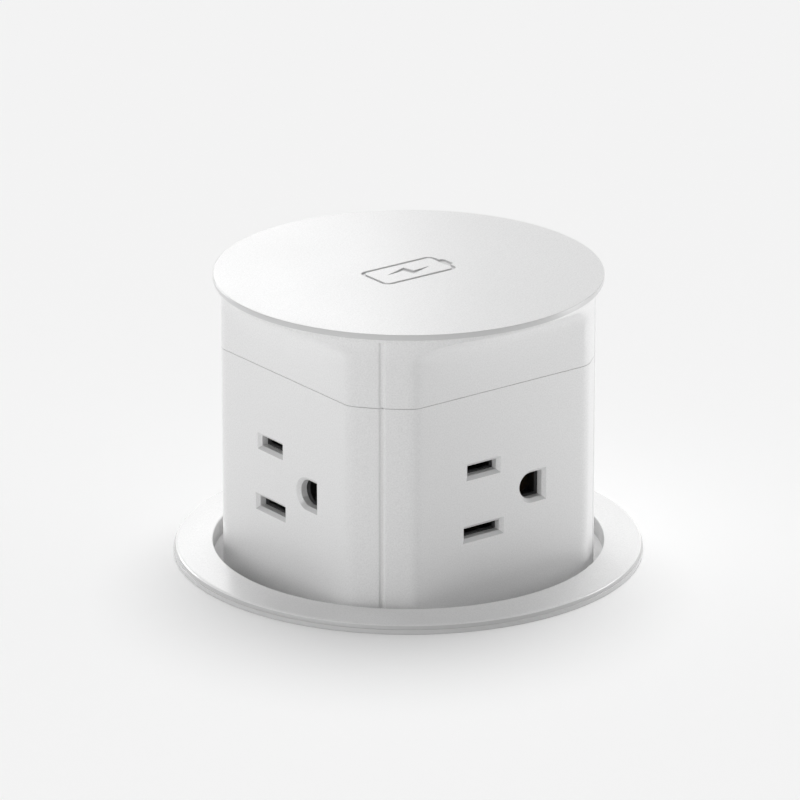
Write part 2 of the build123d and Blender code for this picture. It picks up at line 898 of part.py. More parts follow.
def outlet_contacts():
    """Two leaf contacts for the blades and a sleeve for the ground pin."""
    mouth = contact_back + leaf_thick + leaf_length
    contacts = []
    for height, width in ((short_slot_z, short_slot_width), (long_slot_z, long_slot_width)):
        fork = contact_tail(blade_u, height)
        whole = Rectangle(width, leaf_gap + 2 * leaf_thick)
        inside = Rectangle(width + 2 * overrun, leaf_gap)
        place = Pos(blade_u, -height)
        fork += extrude(inward(mouth) * (place * whole), leaf_length + leaf_thick)
        fork -= extrude(inward(mouth) * (place * inside), leaf_length)
        contacts.append(fork)
    place = Pos(ground_u, -ground_z)
    sleeve = contact_tail(ground_u, ground_z)
    outer = inward(mouth) * (place * Circle(sleeve_r + leaf_thick))
    inner = inward(mouth) * (place * Circle(sleeve_r))
    sleeve += extrude(outer, leaf_length + leaf_thick)
    sleeve -= extrude(inner, leaf_length)
    return contacts + [sleeve]


def face_screws():
    """The two screws that hold a face to its panel."""
    back = core_flat - face_thick
    one = screw(face_screw_length, face_screw_r, face_screw_head_r, face_screw_head_h)
    upright = Rot(90, 0, 0) * one
    return [Pos(side, -back, height) * upright for side, height in face_screw_places()]


def busbar(height):
    """A brass plate that joins one contact of each outlet."""
    reach = block_back - tail_reach
    outline = Rectangle(2 * reach, reach + busbar_back)
    plate = Pos(0, (busbar_back - reach) / 2) * outline - Circle(busbar_hole_r)
    return prism(plate, height - busbar_thick / 2, height + busbar_thick / 2)


def port_shell(width, height, corner, wall, z):
    """A port's metal shell, open at its outer end."""
    outer = RectangleRounded(width, height, corner)
    inner = offset(outer, -wall)
    shell = side_prism(outer, shell_back_y, port_face_y)
    shell -= side_prism(inner, shell_back_y + wall, port_face_y + overrun)
    return Pos(0, 0, z) * shell


def usb_a_shells():
    """The two USB-A shells."""
    corner = usb_a_height * usb_a_corner_share
    heights = (usb_a_z_low, usb_a_z_high)
    return [port_shell(usb_a_width, usb_a_height, corner, usb_a_wall, z) for z in heights]


def usb_a_tongues():
    """The plastic tongues in the USB-A shells, set against their upper half."""
    low = shell_back_y + usb_a_wall
    tongues = []
    for z in (usb_a_z_low, usb_a_z_high):
        middle = z + tongue_a_lift
        half = tongue_a_thick / 2
        tongues.append(block(
            -tongue_a_width / 2, tongue_a_width / 2, low, port_face_y - tongue_inset,
            middle - half, middle + half,
        ))
    return tongues


def usb_c_shell():
    """The USB-C shell."""
    corner = usb_c_height * usb_c_corner_share
    return port_shell(usb_c_width, usb_c_height, corner, usb_c_wall, usb_c_z)


def usb_c_tongue():
    """The tongue in the USB-C shell."""
    low = shell_back_y + usb_c_wall
    half = tongue_c_thick / 2
    return block(
        -tongue_c_width / 2, tongue_c_width / 2, low, port_face_y - tongue_inset,
        usb_c_z - half, usb_c_z + half,
    )


def usb_board():
    """The circuit board that carries the USB ports."""
    low, high = usb_a_z_low - board_below, usb_a_z_high + board_above
    return block(-board_half, board_half, board_y, board_y + board_thick, low, high)


def usb_panel():
    """The face panel with the USB openings, on the +Y side."""
    panel = Rot(0, 0, 180) * quarter_shell()
    ports = [(usb_a_width, usb_a_height, usb_a_corner_share, z) for z in (usb_a_z_low, usb_a_z_high)]
    ports.append((usb_c_width, usb_c_height, usb_c_corner_share, usb_c_z))
    for width, height, corner_share, z in ports:
        radius = height * corner_share + port_gap
        outline = RectangleRounded(width + 2 * port_gap, height + 2 * port_gap, radius)
        hole = side_prism(outline, tower_flat - shell_wall - overrun, tower_flat + overrun)
        panel -= Pos(0, 0, z) * hole
    return panel


def flare():
    """The concave swelling on one flat that turns it into the round under the lid."""
    low = band_low_z - flare_top - flare_height
    high = band_low_z - flare_top
    centre_y = -tower_r
    foot = (-tower_flat, low)
    tip = (centre_y, high)
    share = math.sqrt(1 / 2)
    belly = (centre_y + flat_inset * share, low + flare_height * share)
    edges = [
        Line(foot, (-tower_flat + shell_wall / 2, low)),
        Line((-tower_flat + shell_wall / 2, low), (-tower_flat + shell_wall / 2, band_low_z)),
        Line((-tower_flat + shell_wall / 2, band_low_z), (centre_y, band_low_z)),
        Line((centre_y, band_low_z), tip),
        ThreePointArc(tip, belly, foot),
    ]
    profile = Plane.YZ * make_face(edges)
    return extrude(profile, tower_r, both=True)


def upper_collar():
    """The ring of the tower above the parting line, with flares and corner grooves."""
    collar = prism(tower_outline(), collar_low_z, band_low_z)
    one = flare()
    swelling = one
    for quarter in (90, 180, 270):
        swelling += Rot(0, 0, quarter) * one
    swelling &= prism(Circle(tower_r), collar_low_z, band_low_z)
    collar += swelling
    inside = squared_disc(tower_r - shell_wall, tower_flat - shell_wall)
    collar -= prism(inside, collar_low_z - overrun, band_low_z + overrun)
    groove_half = groove_width / 2
    groove = block(tower_r - groove_depth, tower_r + overrun, -groove_half, groove_half,
                   collar_low_z - overrun, band_low_z - flare_top)
    for corner in corner_degrees:
        collar -= Rot(0, 0, corner) * groove
    return collar


def lid_base():
    """The band under the lid and the tray that holds the charging parts."""
    base = tube(lid_r - band_inset, tray_in_r, band_low_z, lid_low_z)
    base += tube(tray_r, tray_in_r, tray_low_z, lid_low_z)
    base += prism(Circle(tray_r), tray_low_z, tray_low_z + tray_floor)
    shelf_z = lid_low_z - shelf_drop
    base += tube(tray_in_r + tray_wall / 2, tray_in_r - shelf_width, tray_low_z, shelf_z)
    for place in corner_places(pcb_r - standoff_inset, tray_low_z + tray_floor):
        base += place * prism(Circle(standoff_r), 0, pcb_lift)
    return base


def charger_board():
    """The round circuit board on the tray's standoffs."""
    low = tray_low_z + tray_floor + pcb_lift
    return prism(Circle(pcb_r), low, low + pcb_thick)


def ferrite_disc():
    """The ferrite that backs the coil, on the tray's shelf."""
    low = lid_low_z - shelf_drop
    return prism(Circle(tray_in_r - charge_gap), low, low + ferrite_thick)


def charging_coil():
    """The flat coil on the ferrite."""
    low = lid_low_z - shelf_drop + ferrite_thick
    return tube(coil_outer_r, coil_inner_r, low, low + coil_thick)


def battery_sign():
    """A plain battery outline with a bolt, as the grooves that draw it."""
    outer = RectangleRounded(sign_length, sign_width, sign_corner)
    frame = outer - offset(outer, -sign_line)
    nub = Pos(sign_length / 2 + nub_length / 2, 0) * Rectangle(nub_length, nub_width)
    inner_nub = Pos(-sign_line, 0) * (
        Pos(sign_length / 2 + nub_length / 2, 0) * Rectangle(nub_length, nub_width - 2 * sign_line)
    )
    frame += nub - inner_nub
    half_bolt = [(bolt_kink, bolt_step), (-bolt_reach, -bolt_kink)]
    points = half_bolt[::-1] + [(-x, -y) for x, y in half_bolt]
    half = sign_line / 2
    for (x1, y1), (x2, y2) in zip(points, points[1:]):
        length = math.hypot(x2 - x1, y2 - y1)
        turn = math.degrees(math.atan2(y2 - y1, x2 - x1))
        stroke = Rectangle(length + 2 * half, sign_line)
        frame += Pos((x1 + x2) / 2, (y1 + y2) / 2) * Rot(0, 0, turn) * stroke
    return frame


def lid_top():
    """The cap of the lid, with the battery sign cut in it."""
    cap = prism(Circle(lid_r), lid_low_z, lid_top_z)
    cap = chamfer(cap.edges().group_by(Axis.Z)[-1], lid_edge)
    ring_r = tray_in_r - lid_ring_gap
    cap += tube(ring_r, ring_r - lid_ring_wall, lid_low_z - lid_ring_depth, lid_low_z)
    return cap - prism(battery_sign(), lid_top_z - sign_depth, lid_top_z + overrun)


def turned(shape, degrees):
    """A piece, or each of a list of pieces, turned about the tower's axis."""
    if isinstance(shape, list):
        return [Rot(0, 0, degrees) * piece for piece in shape]
    return Rot(0, 0, degrees) * shape


outlet_sides = {"front": 0, "left": -90, "right": 90}

parts = {
    "flange_ring": desk_flange(),
    "desk_gasket": desk_gasket(),
    "casing_tube": casing_tube(),
    "bottom_cap": bottom_cap(),
    "cap_screws": cap_screws(),
    "cord_gland": cord_gland(),
    "gland_nut": gland_nut(),
    "clamp_washer": clamp_washer(),
    "ring_nut": ring_nut(),
    "lift_spring": lift_spring(),
    "damper_rack": damper_rack(),
    "damper_housing": damper_housing(),
    "damper_pinion": damper_pinion(),
    "strike": strike(),
    "latch_housing": latch_housing(),
    "latch_jaw_right": latch_jaw(),
    "latch_jaw_left": mirror(latch_jaw(), Plane.YZ),
    "latch_pins": latch_pins(),
    "latch_screws": latch_screws(),
    "tower_base": tower_base(),
    "base_screws": base_screws(),
    "tower_core": tower_core(),
    "usb_panel": usb_panel(),
    "usb_board": usb_board(),
    "usb_a_shells": usb_a_shells(),
    "usb_a_tongues": usb_a_tongues(),
    "usb_c_shell": usb_c_shell(),
    "usb_c_tongue": usb_c_tongue(),
    "line_busbar": busbar(short_slot_z),
    "neutral_busbar": busbar(long_slot_z),
    "ground_busbar": busbar(ground_z),
    "upper_collar": upper_collar(),
    "lid_base": lid_base(),
    "charger_board": charger_board(),
    "ferrite_disc": ferrite_disc(),
    "charging_coil": charging_coil(),
    "lid_top": lid_top(),
}
for side_name, side_turn in outlet_sides.items():
    parts["outlet_panel_" + side_name] = turned(outlet_panel(), side_turn)
    parts["socket_face_" + side_name] = turned(outlet_face(), side_turn)
    parts["socket_block_" + side_name] = turned(outlet_block(), side_turn)
    parts["contacts_" + side_name] = turned(outlet_contacts(), side_turn)
    parts["face_screws_" + side_name] = turned(face_screws(), side_turn)

os.makedirs("parts", exist_ok=True)
for name, shape in parts.items():
    solid = Compound(children=shape) if isinstance(shape, list) else shape
    export_step(solid, "parts/" + name + ".step")
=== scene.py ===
import math

import bmesh
import bpy
import numpy as np
from bpy.props import FloatProperty, FloatVectorProperty, IntProperty, PointerProperty
from mathutils import Matrix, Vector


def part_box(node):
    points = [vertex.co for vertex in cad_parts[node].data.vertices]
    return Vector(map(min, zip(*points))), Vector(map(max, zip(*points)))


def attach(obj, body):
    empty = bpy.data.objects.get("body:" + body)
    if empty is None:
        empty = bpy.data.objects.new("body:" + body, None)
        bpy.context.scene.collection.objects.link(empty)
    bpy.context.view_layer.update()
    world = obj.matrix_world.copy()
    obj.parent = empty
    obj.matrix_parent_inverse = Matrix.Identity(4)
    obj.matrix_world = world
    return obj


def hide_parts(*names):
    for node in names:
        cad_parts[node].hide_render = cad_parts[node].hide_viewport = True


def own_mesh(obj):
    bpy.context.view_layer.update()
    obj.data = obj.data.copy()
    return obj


bl_info = {
    "name": "Pop up desk socket",
    "version": (1, 0, 0),
    "blender": (4, 5, 0),
    "location": "3D View > Sidebar > Desk socket",
    "description": "Dresses the model of a pop up desk socket: shells, finishes, desk and light",
    "category": "Object",
}

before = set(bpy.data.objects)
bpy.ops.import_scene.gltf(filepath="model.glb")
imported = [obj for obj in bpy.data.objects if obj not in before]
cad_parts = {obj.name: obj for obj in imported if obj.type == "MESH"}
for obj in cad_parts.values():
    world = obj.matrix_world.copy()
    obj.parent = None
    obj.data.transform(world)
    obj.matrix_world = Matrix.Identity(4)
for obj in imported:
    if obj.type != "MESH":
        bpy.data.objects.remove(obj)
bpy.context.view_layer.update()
MM = 0.001
FULL_TURN = 2 * math.pi
# Each outlet's side, in quarter turns from the front
OUTLET_SIDES = {"front": 0, "left": -1, "right": 1}
USB_SIDE = 2
# Each sun's direction (ahead of the camera, to its right, up), width in degrees, strength and what it lights
SUNS = {
    "key_light": ((0.4695, 0, 0.8829), 30, 1.445, "object"),
    "low_fill": ((-0.6917, -0.6917, 0.2079), 60, 1.165, "object"),
    "desk_key": ((0.37, 0.04, 0.93), 40, 1.47, "desk"),
    "desk_side": ((0.15, 0.6, 0.78), 80, 0.34, "desk"),
    "desk_light": ((0, 0, 1), 180, 0.58, "desk"),
}
# Each near lamp's place in the same axes, size across and power
SOFT_LAMPS = {
    "right_lamp": ((0.02, 0.16, 0.05), 0.08, 0.092),
    "left_lamp": ((0.15, -0.20, 0.06), 0.10, 0.165),
    "back_lamp": ((0.30, -0.05, 0.19), 0.12, 0.088),
}


def low_corner(node):
    """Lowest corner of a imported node, in metres."""
    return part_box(node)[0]


def high_corner(node):
    """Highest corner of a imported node, in metres."""
    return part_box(node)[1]


def span(node):
    """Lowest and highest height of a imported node, in metres."""
    return low_corner(node)[2], high_corner(node)[2]


def length(name, description, default):
    """A property that holds a size in metres."""
    return FloatProperty(name=name, description=description, default=default, unit="LENGTH", precision=5)


def colour(name, description, default):
    """A property that holds a colour."""
    return FloatVectorProperty(
        name=name, description=description, default=default, size=3, subtype="COLOR", min=0, max=1
    )


class LidSizes(bpy.types.PropertyGroup):
    """Sizes of the lid and of the tray under it."""

    radius: length("Radius", "Outer radius of the lid", high_corner("lid_top")[0])
    top: length("Top", "Height of the lid's top face", high_corner("lid_top")[2])
    rim: length("Rim", "Height of the lid's visible rim", 1.17 * MM)
    edge: length("Edge", "Rounding of the lid's edges", 0.22 * MM)
    band_radius: length("Band radius", "Outer radius of the band under the lid", high_corner("lid_base")[0])
    band_low: length("Band foot", "Height of the band's lower side", high_corner("upper_collar")[2])
    tray_radius: length("Tray radius", "Outer radius of the tray", 27.5 * MM)
    tray_wall: length("Tray wall", "Wall of the tray", 1.5 * MM)
    sign_length: length("Sign length", "Length of the battery sign", 17.6 * MM)
    sign_width: length("Sign width", "Width of the battery sign", 9.25 * MM)
    sign_corner: length("Sign corner", "Corner radius of the battery sign", 1.7 * MM)
    sign_line: length("Sign line", "Width of the sign's groove", 0.8 * MM)
    sign_depth: length("Sign depth", "Depth of the sign's groove", 0.34 * MM)
    nub_length: length("Nub length", "How far the sign's nub stands out", 0.95 * MM)
    nub_width: length("Nub width", "Width of the sign's nub", 3.6 * MM)


class TowerSizes(bpy.types.PropertyGroup):
    """Sizes of the tower's outside."""

    radius: length("Radius", "Radius of the tower's round corners", high_corner("upper_collar")[0])
    flat: length("Flat", "Distance of the flat sides from the axis", 29.97 * MM)
    blend: length("Blend", "Radius between a flat side and a round corner", 4 * MM)
    wall: length("Wall", "Wall of the face panels and the collar", 2 * MM)
    groove: length("Groove", "Width of the corner grooves", 1.44 * MM)
    groove_depth: length("Groove depth", "Depth of the corner grooves", 0.4 * MM)
    groove_wall: length("Groove wall", "Width of a groove's slanted wall", 0.52 * MM)
    edge: length("Edge", "Rounding of the edges along the parting line", 0.07 * MM)
    seam: length("Seam", "Gap between the panels and the collar", 0.06 * MM)
    flare_height: length("Flare height", "Height of the swelling under the lid", 4.6 * MM)
    flare_top: length("Flare top", "Height of the round disc above the swelling", 0.5 * MM)


class OutletSizes(bpy.types.PropertyGroup):
    """Sizes of the holes in the face panels."""

    blade_side: length("Blade side", "Middle of the blade slots, from the panel's centre line", -4.6 * MM)
    short_height: length("Short slot height", "Height of the short slot's middle", 26.4 * MM)
    short_width: length("Short slot width", "Width of the short slot inside", 6.95 * MM)
    long_height: length("Long slot height", "Height of the long slot's middle", 13.75 * MM)
    long_width: length("Long slot width", "Width of the long slot inside", 8.55 * MM)
    slot_opening: length("Slot opening", "Height of both slots inside", 2.1 * MM)
    ground_side: length("Ground side", "Middle of the ground hole's round end", 7.25 * MM)
    ground_height: length("Ground height", "Height of the ground hole's middle", 20.08 * MM)
    ground_radius: length("Ground radius", "Radius of the ground hole inside", 2.66 * MM)
    ground_flat: length("Ground flat", "Reach of the ground hole past its round end", 2.73 * MM)
    bevel: length("Bevel", "Bevel round each hole", 0.67 * MM)
    port_gap: length("Port gap", "Space between a port's shell and the panel", 0.2 * MM)


class DeskSizes(bpy.types.PropertyGroup):
    """Sizes of the flange and of what is under the desk."""

    flange_radius: length("Flange radius", "Outer radius of the flange", high_corner("flange_ring")[0])
    flange_draft: length("Flange draft", "How far the flange's side leans in", 0.36 * MM)
    flange_edge: length("Flange edge", "Height of the flange's outer edge", 1.85 * MM)
    flange_step: length("Flange step", "Height of the fine step in the flange's side", 0.9 * MM)
    flange_round: length("Flange round", "Rounding of the flange's edges", 0.28 * MM)
    mouth_radius: length("Mouth radius", "Radius of the mouth that the lid fills", 38.39 * MM)
    seat_depth: length("Seat depth", "Depth of the lid's seat below the mouth's rim", 3.71 * MM)
    seat_slope: length("Seat slope", "Height of the slope from the mouth down to the throat", 2.4 * MM)
    throat_radius: length("Throat radius", "Radius of the hole that the tower passes", 36.52 * MM)
    barrel_radius: length("Barrel radius", "Radius over the casing's thread", high_corner("casing_tube")[0])
    thread_depth: length("Thread depth", "Depth of the casing's thread", 0.6 * MM)
    thread_pitch: length("Thread pitch", "Rise of the thread in one turn", 4 * MM)
    thread_start: length("Thread start", "Depth below the desk at which the thread starts", 12 * MM)
    bore_radius: length("Bore radius", "Inner radius of the casing", 37.8 * MM)
    spigot_radius: length("Spigot bore", "Inner radius of the casing round the flange's spigot", 38.5 * MM)
    gasket_inner: length("Gasket inside", "Inner radius of the foam gasket", 41.05 * MM)
    nut_radius: length("Nut radius", "Outer radius of the ring nut", 49 * MM)
    clamp_gap: length("Clamp gap", "Room between the thread and the washer or nut", 0.3 * MM)
    screw_head: length("Screw head", "Radius of the cap's screw heads", 2.75 * MM)
    desk_hole: length("Desk hole", "Radius of the hole in the desk", 40 * MM)
    grips: IntProperty(name="Grips", description="Scallops round the ring nut", default=12, min=3)
    grip_depth: length("Grip depth", "Depth of the nut's scallops", 2 * MM)
    spring_radius: length("Spring radius", "Radius of the lift spring's coil", 14 * MM)
    spring_wire: length("Spring wire", "Thickness of the lift spring's wire", 1.6 * MM)
    spring_turns: IntProperty(name="Spring turns", description="Turns of the lift spring", default=9, min=3)


class Finishes(bpy.types.PropertyGroup):
    """Colours of the finishes."""

    white: colour("White shell", "Satin white plastic of the visible shells", (0.84, 0.84, 0.84))
    frame_white: colour("White frame", "Plainer white plastic of the frame", (0.82, 0.82, 0.815))
    casing_white: colour("White casing", "White plastic under the desk", (0.80, 0.80, 0.79))
    black: colour("Black plastic", "Dark plastic behind the holes", (0.012, 0.012, 0.013))
    # The black rims' lighter colour is a painted sheen on their real chamfered edges.
    black_rim_painted_sheen: colour("Black rims", "Painted sheen of the black holes' rims", (0.07, 0.07, 0.072))
    foam: colour("Foam", "Foam of the gasket", (0.05, 0.05, 0.052))
    steel: colour("Steel", "Plated steel", (0.62, 0.62, 0.61))
    brass: colour("Brass", "Brass of the contacts", (0.78, 0.58, 0.26))
    copper: colour("Copper", "Wire of the charging coil", (0.72, 0.34, 0.18))
    board: colour("Circuit board", "Solder mask of the circuit boards", (0.02, 0.14, 0.07))
    natural: colour("Acetal", "Natural plastic of the damper's gear", (0.84, 0.82, 0.74))


class StageSettings(bpy.types.PropertyGroup):
    """The desk, the light and the camera."""

    lens: FloatProperty(name="Lens", description="Focal length in millimetres", default=276.6)
    distance: length("Distance", "Camera's distance from its target", 1.1978)
    azimuth: FloatProperty(name="Azimuth", description="Camera's direction round the object", default=-36.99)
    elevation: FloatProperty(name="Elevation", description="Camera's height in degrees", default=19.883)
    target_side: length("Target side", "Target's offset to the camera's right", -1.657 * MM)
    target_height: length("Target height", "Target's height above the desk", 30.643 * MM)
    desk_radius: length("Desk radius", "Radius of the desk's surface", 4.0)
    sky: FloatProperty(name="Sky", description="Strength of the even light from all round", default=0.24)
    desk: colour("Desk", "Colour of the desk", (0.88, 0.88, 0.88))
    desk_seen: colour("Seen desk", "Colour of the desk as it is seen and mirrored", (0.95, 0.95, 0.95))
    background: colour("Background", "Colour behind everything", (0.905, 0.905, 0.905))


def grid_faces(rows, columns, close_rows=False):
    """Quads of a grid whose points are numbered row by row, each row's end joined to its start.

    The last row can be joined to the first.
    """
    r, c = np.meshgrid(np.arange(rows if close_rows else rows - 1), np.arange(columns), indexing="ij")
    r_next, c_next = (r + 1) % rows, (c + 1) % columns
    corners = [r * columns + c, r * columns + c_next, r_next * columns + c_next, r_next * columns + c]
    return np.stack(corners, axis=-1).reshape(-1, 4)


def make_object(name, points, faces, caps=()):
    """A mesh object from an array of points, an array of quads and a few faces with more corners."""
    points, faces = np.asarray(points, float), np.asarray(faces, int)
    mesh = bpy.data.meshes.new(name)
    mesh.from_pydata(points.tolist(), [], faces.tolist() + [list(cap) for cap in caps])
    mesh.update()
    piece = bpy.data.objects.new(name, mesh)
    bpy.context.scene.collection.objects.link(piece)
    return piece


def weld(piece, outwards=False):
    """Merges points that share a place, which closes seams and poles, and can turn the faces outwards."""
    near = 1e-7
    work = bmesh.new()
    work.from_mesh(piece.data)
    bmesh.ops.remove_doubles(work, verts=work.verts, dist=near)
    bmesh.ops.dissolve_degenerate(work, dist=near, edges=work.edges)
    if outwards:
        bmesh.ops.recalc_face_normals(work, faces=work.faces)
    work.to_mesh(piece.data)
    work.free()
    return piece


def on_circle(angle):
    """Points (cos a, sin a) at angles."""
    return np.stack([np.cos(angle), np.sin(angle)], -1)


def arc_corner(before, corner, after, radius):
    """Points of the arc that rounds one corner of a profile, tangent to its two sides."""
    before, corner, after = (np.asarray(p, float) for p in (before, corner, after))
    first = (before - corner) / np.linalg.norm(before - corner)
    second = (after - corner) / np.linalg.norm(after - corner)
    half = math.acos(np.clip(first @ second, -1, 1)) / 2
    middle = (first + second) / np.linalg.norm(first + second)
    centre = corner + middle * radius / math.sin(half)
    start = corner + first * radius / math.tan(half) - centre
    end = corner + second * radius / math.tan(half) - centre
    share = np.linspace(0, 1, 5)[:, None]
    turn = math.acos(np.clip(start @ end / radius**2, -1, 1))
    along = (np.sin((1 - share) * turn) * start + np.sin(share * turn) * end) / math.sin(turn)
    return centre + along


def rounded_profile(corners, closed=True):
    """A profile whose corners (r, z, radius) are rounded where their radius isn't zero."""
    outline = []
    count = len(corners)
    for index, (r, z, radius) in enumerate(corners):
        inside = closed or 0 < index < count - 1
        if radius > 0 and inside:
            before, after = corners[index - 1][:2], corners[(index + 1) % count][:2]
            outline.append(arc_corner(before, (r, z), after, radius))
        else:
            outline.append(np.array([[r, z]], float))
    return np.concatenate(outline)


def swept(name, radius, z, angle, closed=True):
    """A mesh over rows of radius and height and columns of angle: (r cos a, r sin a, z)."""
    points = np.stack(np.broadcast_arrays(radius * np.cos(angle), radius * np.sin(angle), z), -1)
    faces = grid_faces(*points.shape[:2], close_rows=closed)
    return make_object(name, points.reshape(-1, 3), faces)


def revolved(name, corners, segments=256, closed=True):
    """A profile of corners (r, z, radius) turned about the axis."""
    profile = rounded_profile(corners, closed)
    angle = np.linspace(0, FULL_TURN, segments, endpoint=False)
    return weld(swept(name, profile[:, :1], profile[:, 1:], angle, closed))


def lofted(name, rows, ring=False):
    """A mesh through like closed outlines, one for each row of points.

    A ring joins its last outline to the first, and any other mesh is capped at both ends.
    """
    count = len(rows[0])
    last = (len(rows) - 1) * count
    faces = grid_faces(len(rows), count, close_rows=ring)
    caps = [] if ring else [range(count)[::-1], range(last, last + count)]
    return make_object(name, np.concatenate(rows), faces, caps)


def turned(points, quarters):
    """Points turned about the axis by a number of quarter turns."""
    cos, sin = math.cos(quarters * math.pi / 2), math.sin(quarters * math.pi / 2)
    return np.asarray(points, float) @ np.array([[cos, sin, 0], [-sin, cos, 0], [0, 0, 1]])


def carve(piece, cutters):
    """Cuts the cutters out of a piece for good."""
    for cutter in cutters:
        change = piece.modifiers.new("carve", "BOOLEAN")
        change.object = cutter
        change.operation = "DIFFERENCE"
        change.solver = "EXACT"
    graph = bpy.context.evaluated_depsgraph_get()
    mesh = bpy.data.meshes.new_from_object(piece.evaluated_get(graph))
    piece.modifiers.clear()
    old, piece.data = piece.data, mesh
    bpy.data.meshes.remove(old)
    for cutter in cutters:
        bpy.data.objects.remove(cutter)


def dress(piece, body, nodes, finish_name):
    """Shades a piece smoothly up to its creases, gives it its finish, puts it under its body and hides the
    nodes that it stands for.
    """
    crease = math.radians(32)
    mesh = piece.data
    mesh.materials.clear()
    mesh.materials.append(finish(finish_name))
    mesh.shade_smooth()
    mesh.set_sharp_from_angle(angle=crease)
    even = piece.modifiers.new("even shading", "WEIGHTED_NORMAL")
    even.keep_sharp = True
    even.weight = 100
    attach(piece, body)
    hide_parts(*nodes)


def outline_radius(angle, flat, radius, blend):
    """Distance from the axis to the tower's side, at an angle from the middle of its nearest flat.

    It is flat / cos(angle) on the flat, the ray's far meeting with the blend's circle on the blend,
    and radius on the round corner. flat may be an array.
    """
    angle = np.abs(angle)
    inner = radius - blend
    side = np.sqrt(np.maximum(inner**2 - (flat - blend) ** 2, 0))
    flat_end = np.arctan2(side, flat)
    blend_end = np.arctan2(side, flat - blend)
    along = (flat - blend) * np.cos(angle) + side * np.sin(angle)
    on_blend = along + np.sqrt(np.maximum(along**2 - (inner**2 - blend**2), 0))
    on_side = np.where(angle < blend_end, on_blend, radius)
    return np.where(angle < flat_end, flat / np.cos(angle), on_side)


def edge_samples(edge):
    """Steps across a rounded edge: how far along the side, and how far in."""
    turn = np.linspace(0, math.pi / 2, 5)
    return edge * (1 - np.cos(turn)), edge * (1 - np.sin(turn))


def groove_wall(sizes):
    """Half of a corner groove's section: angles from its middle and depths, from the floor up.

    The wall rises from the floor to the side as a smooth step over its width.
    """
    share = np.linspace(0, 1, 9)
    offset = sizes.groove / 2 - sizes.groove_wall * (1 - share)
    return np.arcsin(offset / sizes.radius), sizes.groove_depth * (1 - (3 - 2 * share) * share**2)


def quarter_points(from_corner, fall):
    """Angles of a quarter's points and their depths below the side, alike on both sides of its middle."""
    left = -math.pi / 4 + from_corner
    middle = np.radians(np.arange(-42, 43, 1.0))
    angle = np.concatenate([left, middle, -left[::-1]])
    depth = np.concatenate([fall, np.zeros(len(middle)), fall[::-1]])
    return angle, depth


def parting_line():
    """Height of the line between the panels and the collar."""
    return (high_corner("usb_panel")[2] + low_corner("upper_collar")[2]) / 2


def section_points(angle, radius, z):
    """Points at angles from the -Y direction, at distances from the axis and at a height."""
    return np.stack(np.broadcast_arrays(radius * np.sin(angle), -radius * np.cos(angle), z), -1)


def panel_shell(name, sizes, low, high, quarters):
    """One face panel: its outer side over a grid of angle and height, closed at its inner side.

    Its edges end in thin lips that slope down to the groove's floor.
    """
    from_corner, fall = groove_wall(sizes)
    lip, lap = 0.02 * MM, 0.005 * MM
    angle, depth = quarter_points(from_corner, np.minimum(fall, sizes.groove_depth - lip))
    along, inwards = edge_samples(sizes.edge)
    heights = np.concatenate([[low], high - along[::-1]])
    tucks = np.concatenate([[0], inwards[::-1]])
    outer = outline_radius(angle, sizes.flat, sizes.radius, sizes.blend)
    inner = outline_radius(angle, sizes.flat - sizes.wall, sizes.radius - sizes.wall, sizes.blend / 4)
    inner = np.where(depth > 0, sizes.radius - sizes.groove_depth + lap, inner)
    rows = []
    for height, tuck in zip(heights, tucks):
        outside = section_points(angle, outer - np.maximum(depth, tuck), height)
        inside = section_points(angle[::-1], inner[::-1], height)
        rows.append(np.concatenate([outside, inside]))
    points = np.concatenate(rows)
    count = len(angle)
    ring = 2 * count
    faces = grid_faces(len(heights), ring)
    step = np.arange(count - 1)
    bottom = np.stack([step + 1, step, ring - 1 - step, ring - 2 - step], -1)
    top = np.stack([step, step + 1, ring - 2 - step, ring - 1 - step], -1) + (len(heights) - 1) * ring
    return make_object(name, turned(points, quarters), np.concatenate([faces, bottom, top]))


def sunk(name, outlines, depths, face, quarters, ring=False):
    """A solid through like outlines (side, height), each at a depth below a face in front of the axis."""
    rows = [np.insert(outline, 1, depth - face, axis=1) for outline, depth in zip(outlines, depths)]
    return weld(lofted(name, [turned(row, quarters) for row in rows], ring), outwards=True)


def box_outline(side, height, width, opening, grow=0.0):
    """Corners of a slot's outline."""
    half_width, half_opening = width / 2 + grow, opening / 2 + grow
    signs = np.array([[-1, -1], [1, -1], [1, 1], [-1, 1]])
    return np.array([side, height]) + signs * np.array([half_width, half_opening])


def round_box_outline(side, height, width, opening, radius, steps=8):
    """Outline of a slot with round corners: a quarter circle about each corner's centre."""
    turn = np.linspace(0, math.pi / 2, steps)
    half = np.array([width / 2 - radius, opening / 2 - radius])
    quarters = []
    for quarter, sign in enumerate(((1, 1), (-1, 1), (-1, -1), (1, -1))):
        arc = radius * on_circle(turn + quarter * math.pi / 2)
        quarters.append(np.array([side, height]) + np.array(sign) * half + arc)
    return np.concatenate(quarters)


def ground_outline(sizes, grow):
    """Outline of the ground hole: half a circle on one side, square on the other."""
    radius = sizes.ground_radius + grow
    turn = np.linspace(math.pi / 2, 3 * math.pi / 2, 33)
    reach = sizes.ground_flat + grow
    square_end = [(reach, -radius), (reach, radius)]
    outline = np.concatenate([radius * on_circle(turn), square_end])
    return outline + np.array([sizes.ground_side, sizes.ground_height])


def outlet_holes(sizes, grows):
    """Outlines of the two blade slots and the ground hole, each at several sizes."""
    short = (sizes.blade_side, sizes.short_height, sizes.short_width, sizes.slot_opening)
    long = (sizes.blade_side, sizes.long_height, sizes.long_width, sizes.slot_opening)
    slots = [[box_outline(*slot, grow) for grow in grows] for slot in (short, long)]
    return slots + [[ground_outline(sizes, grow) for grow in grows]]


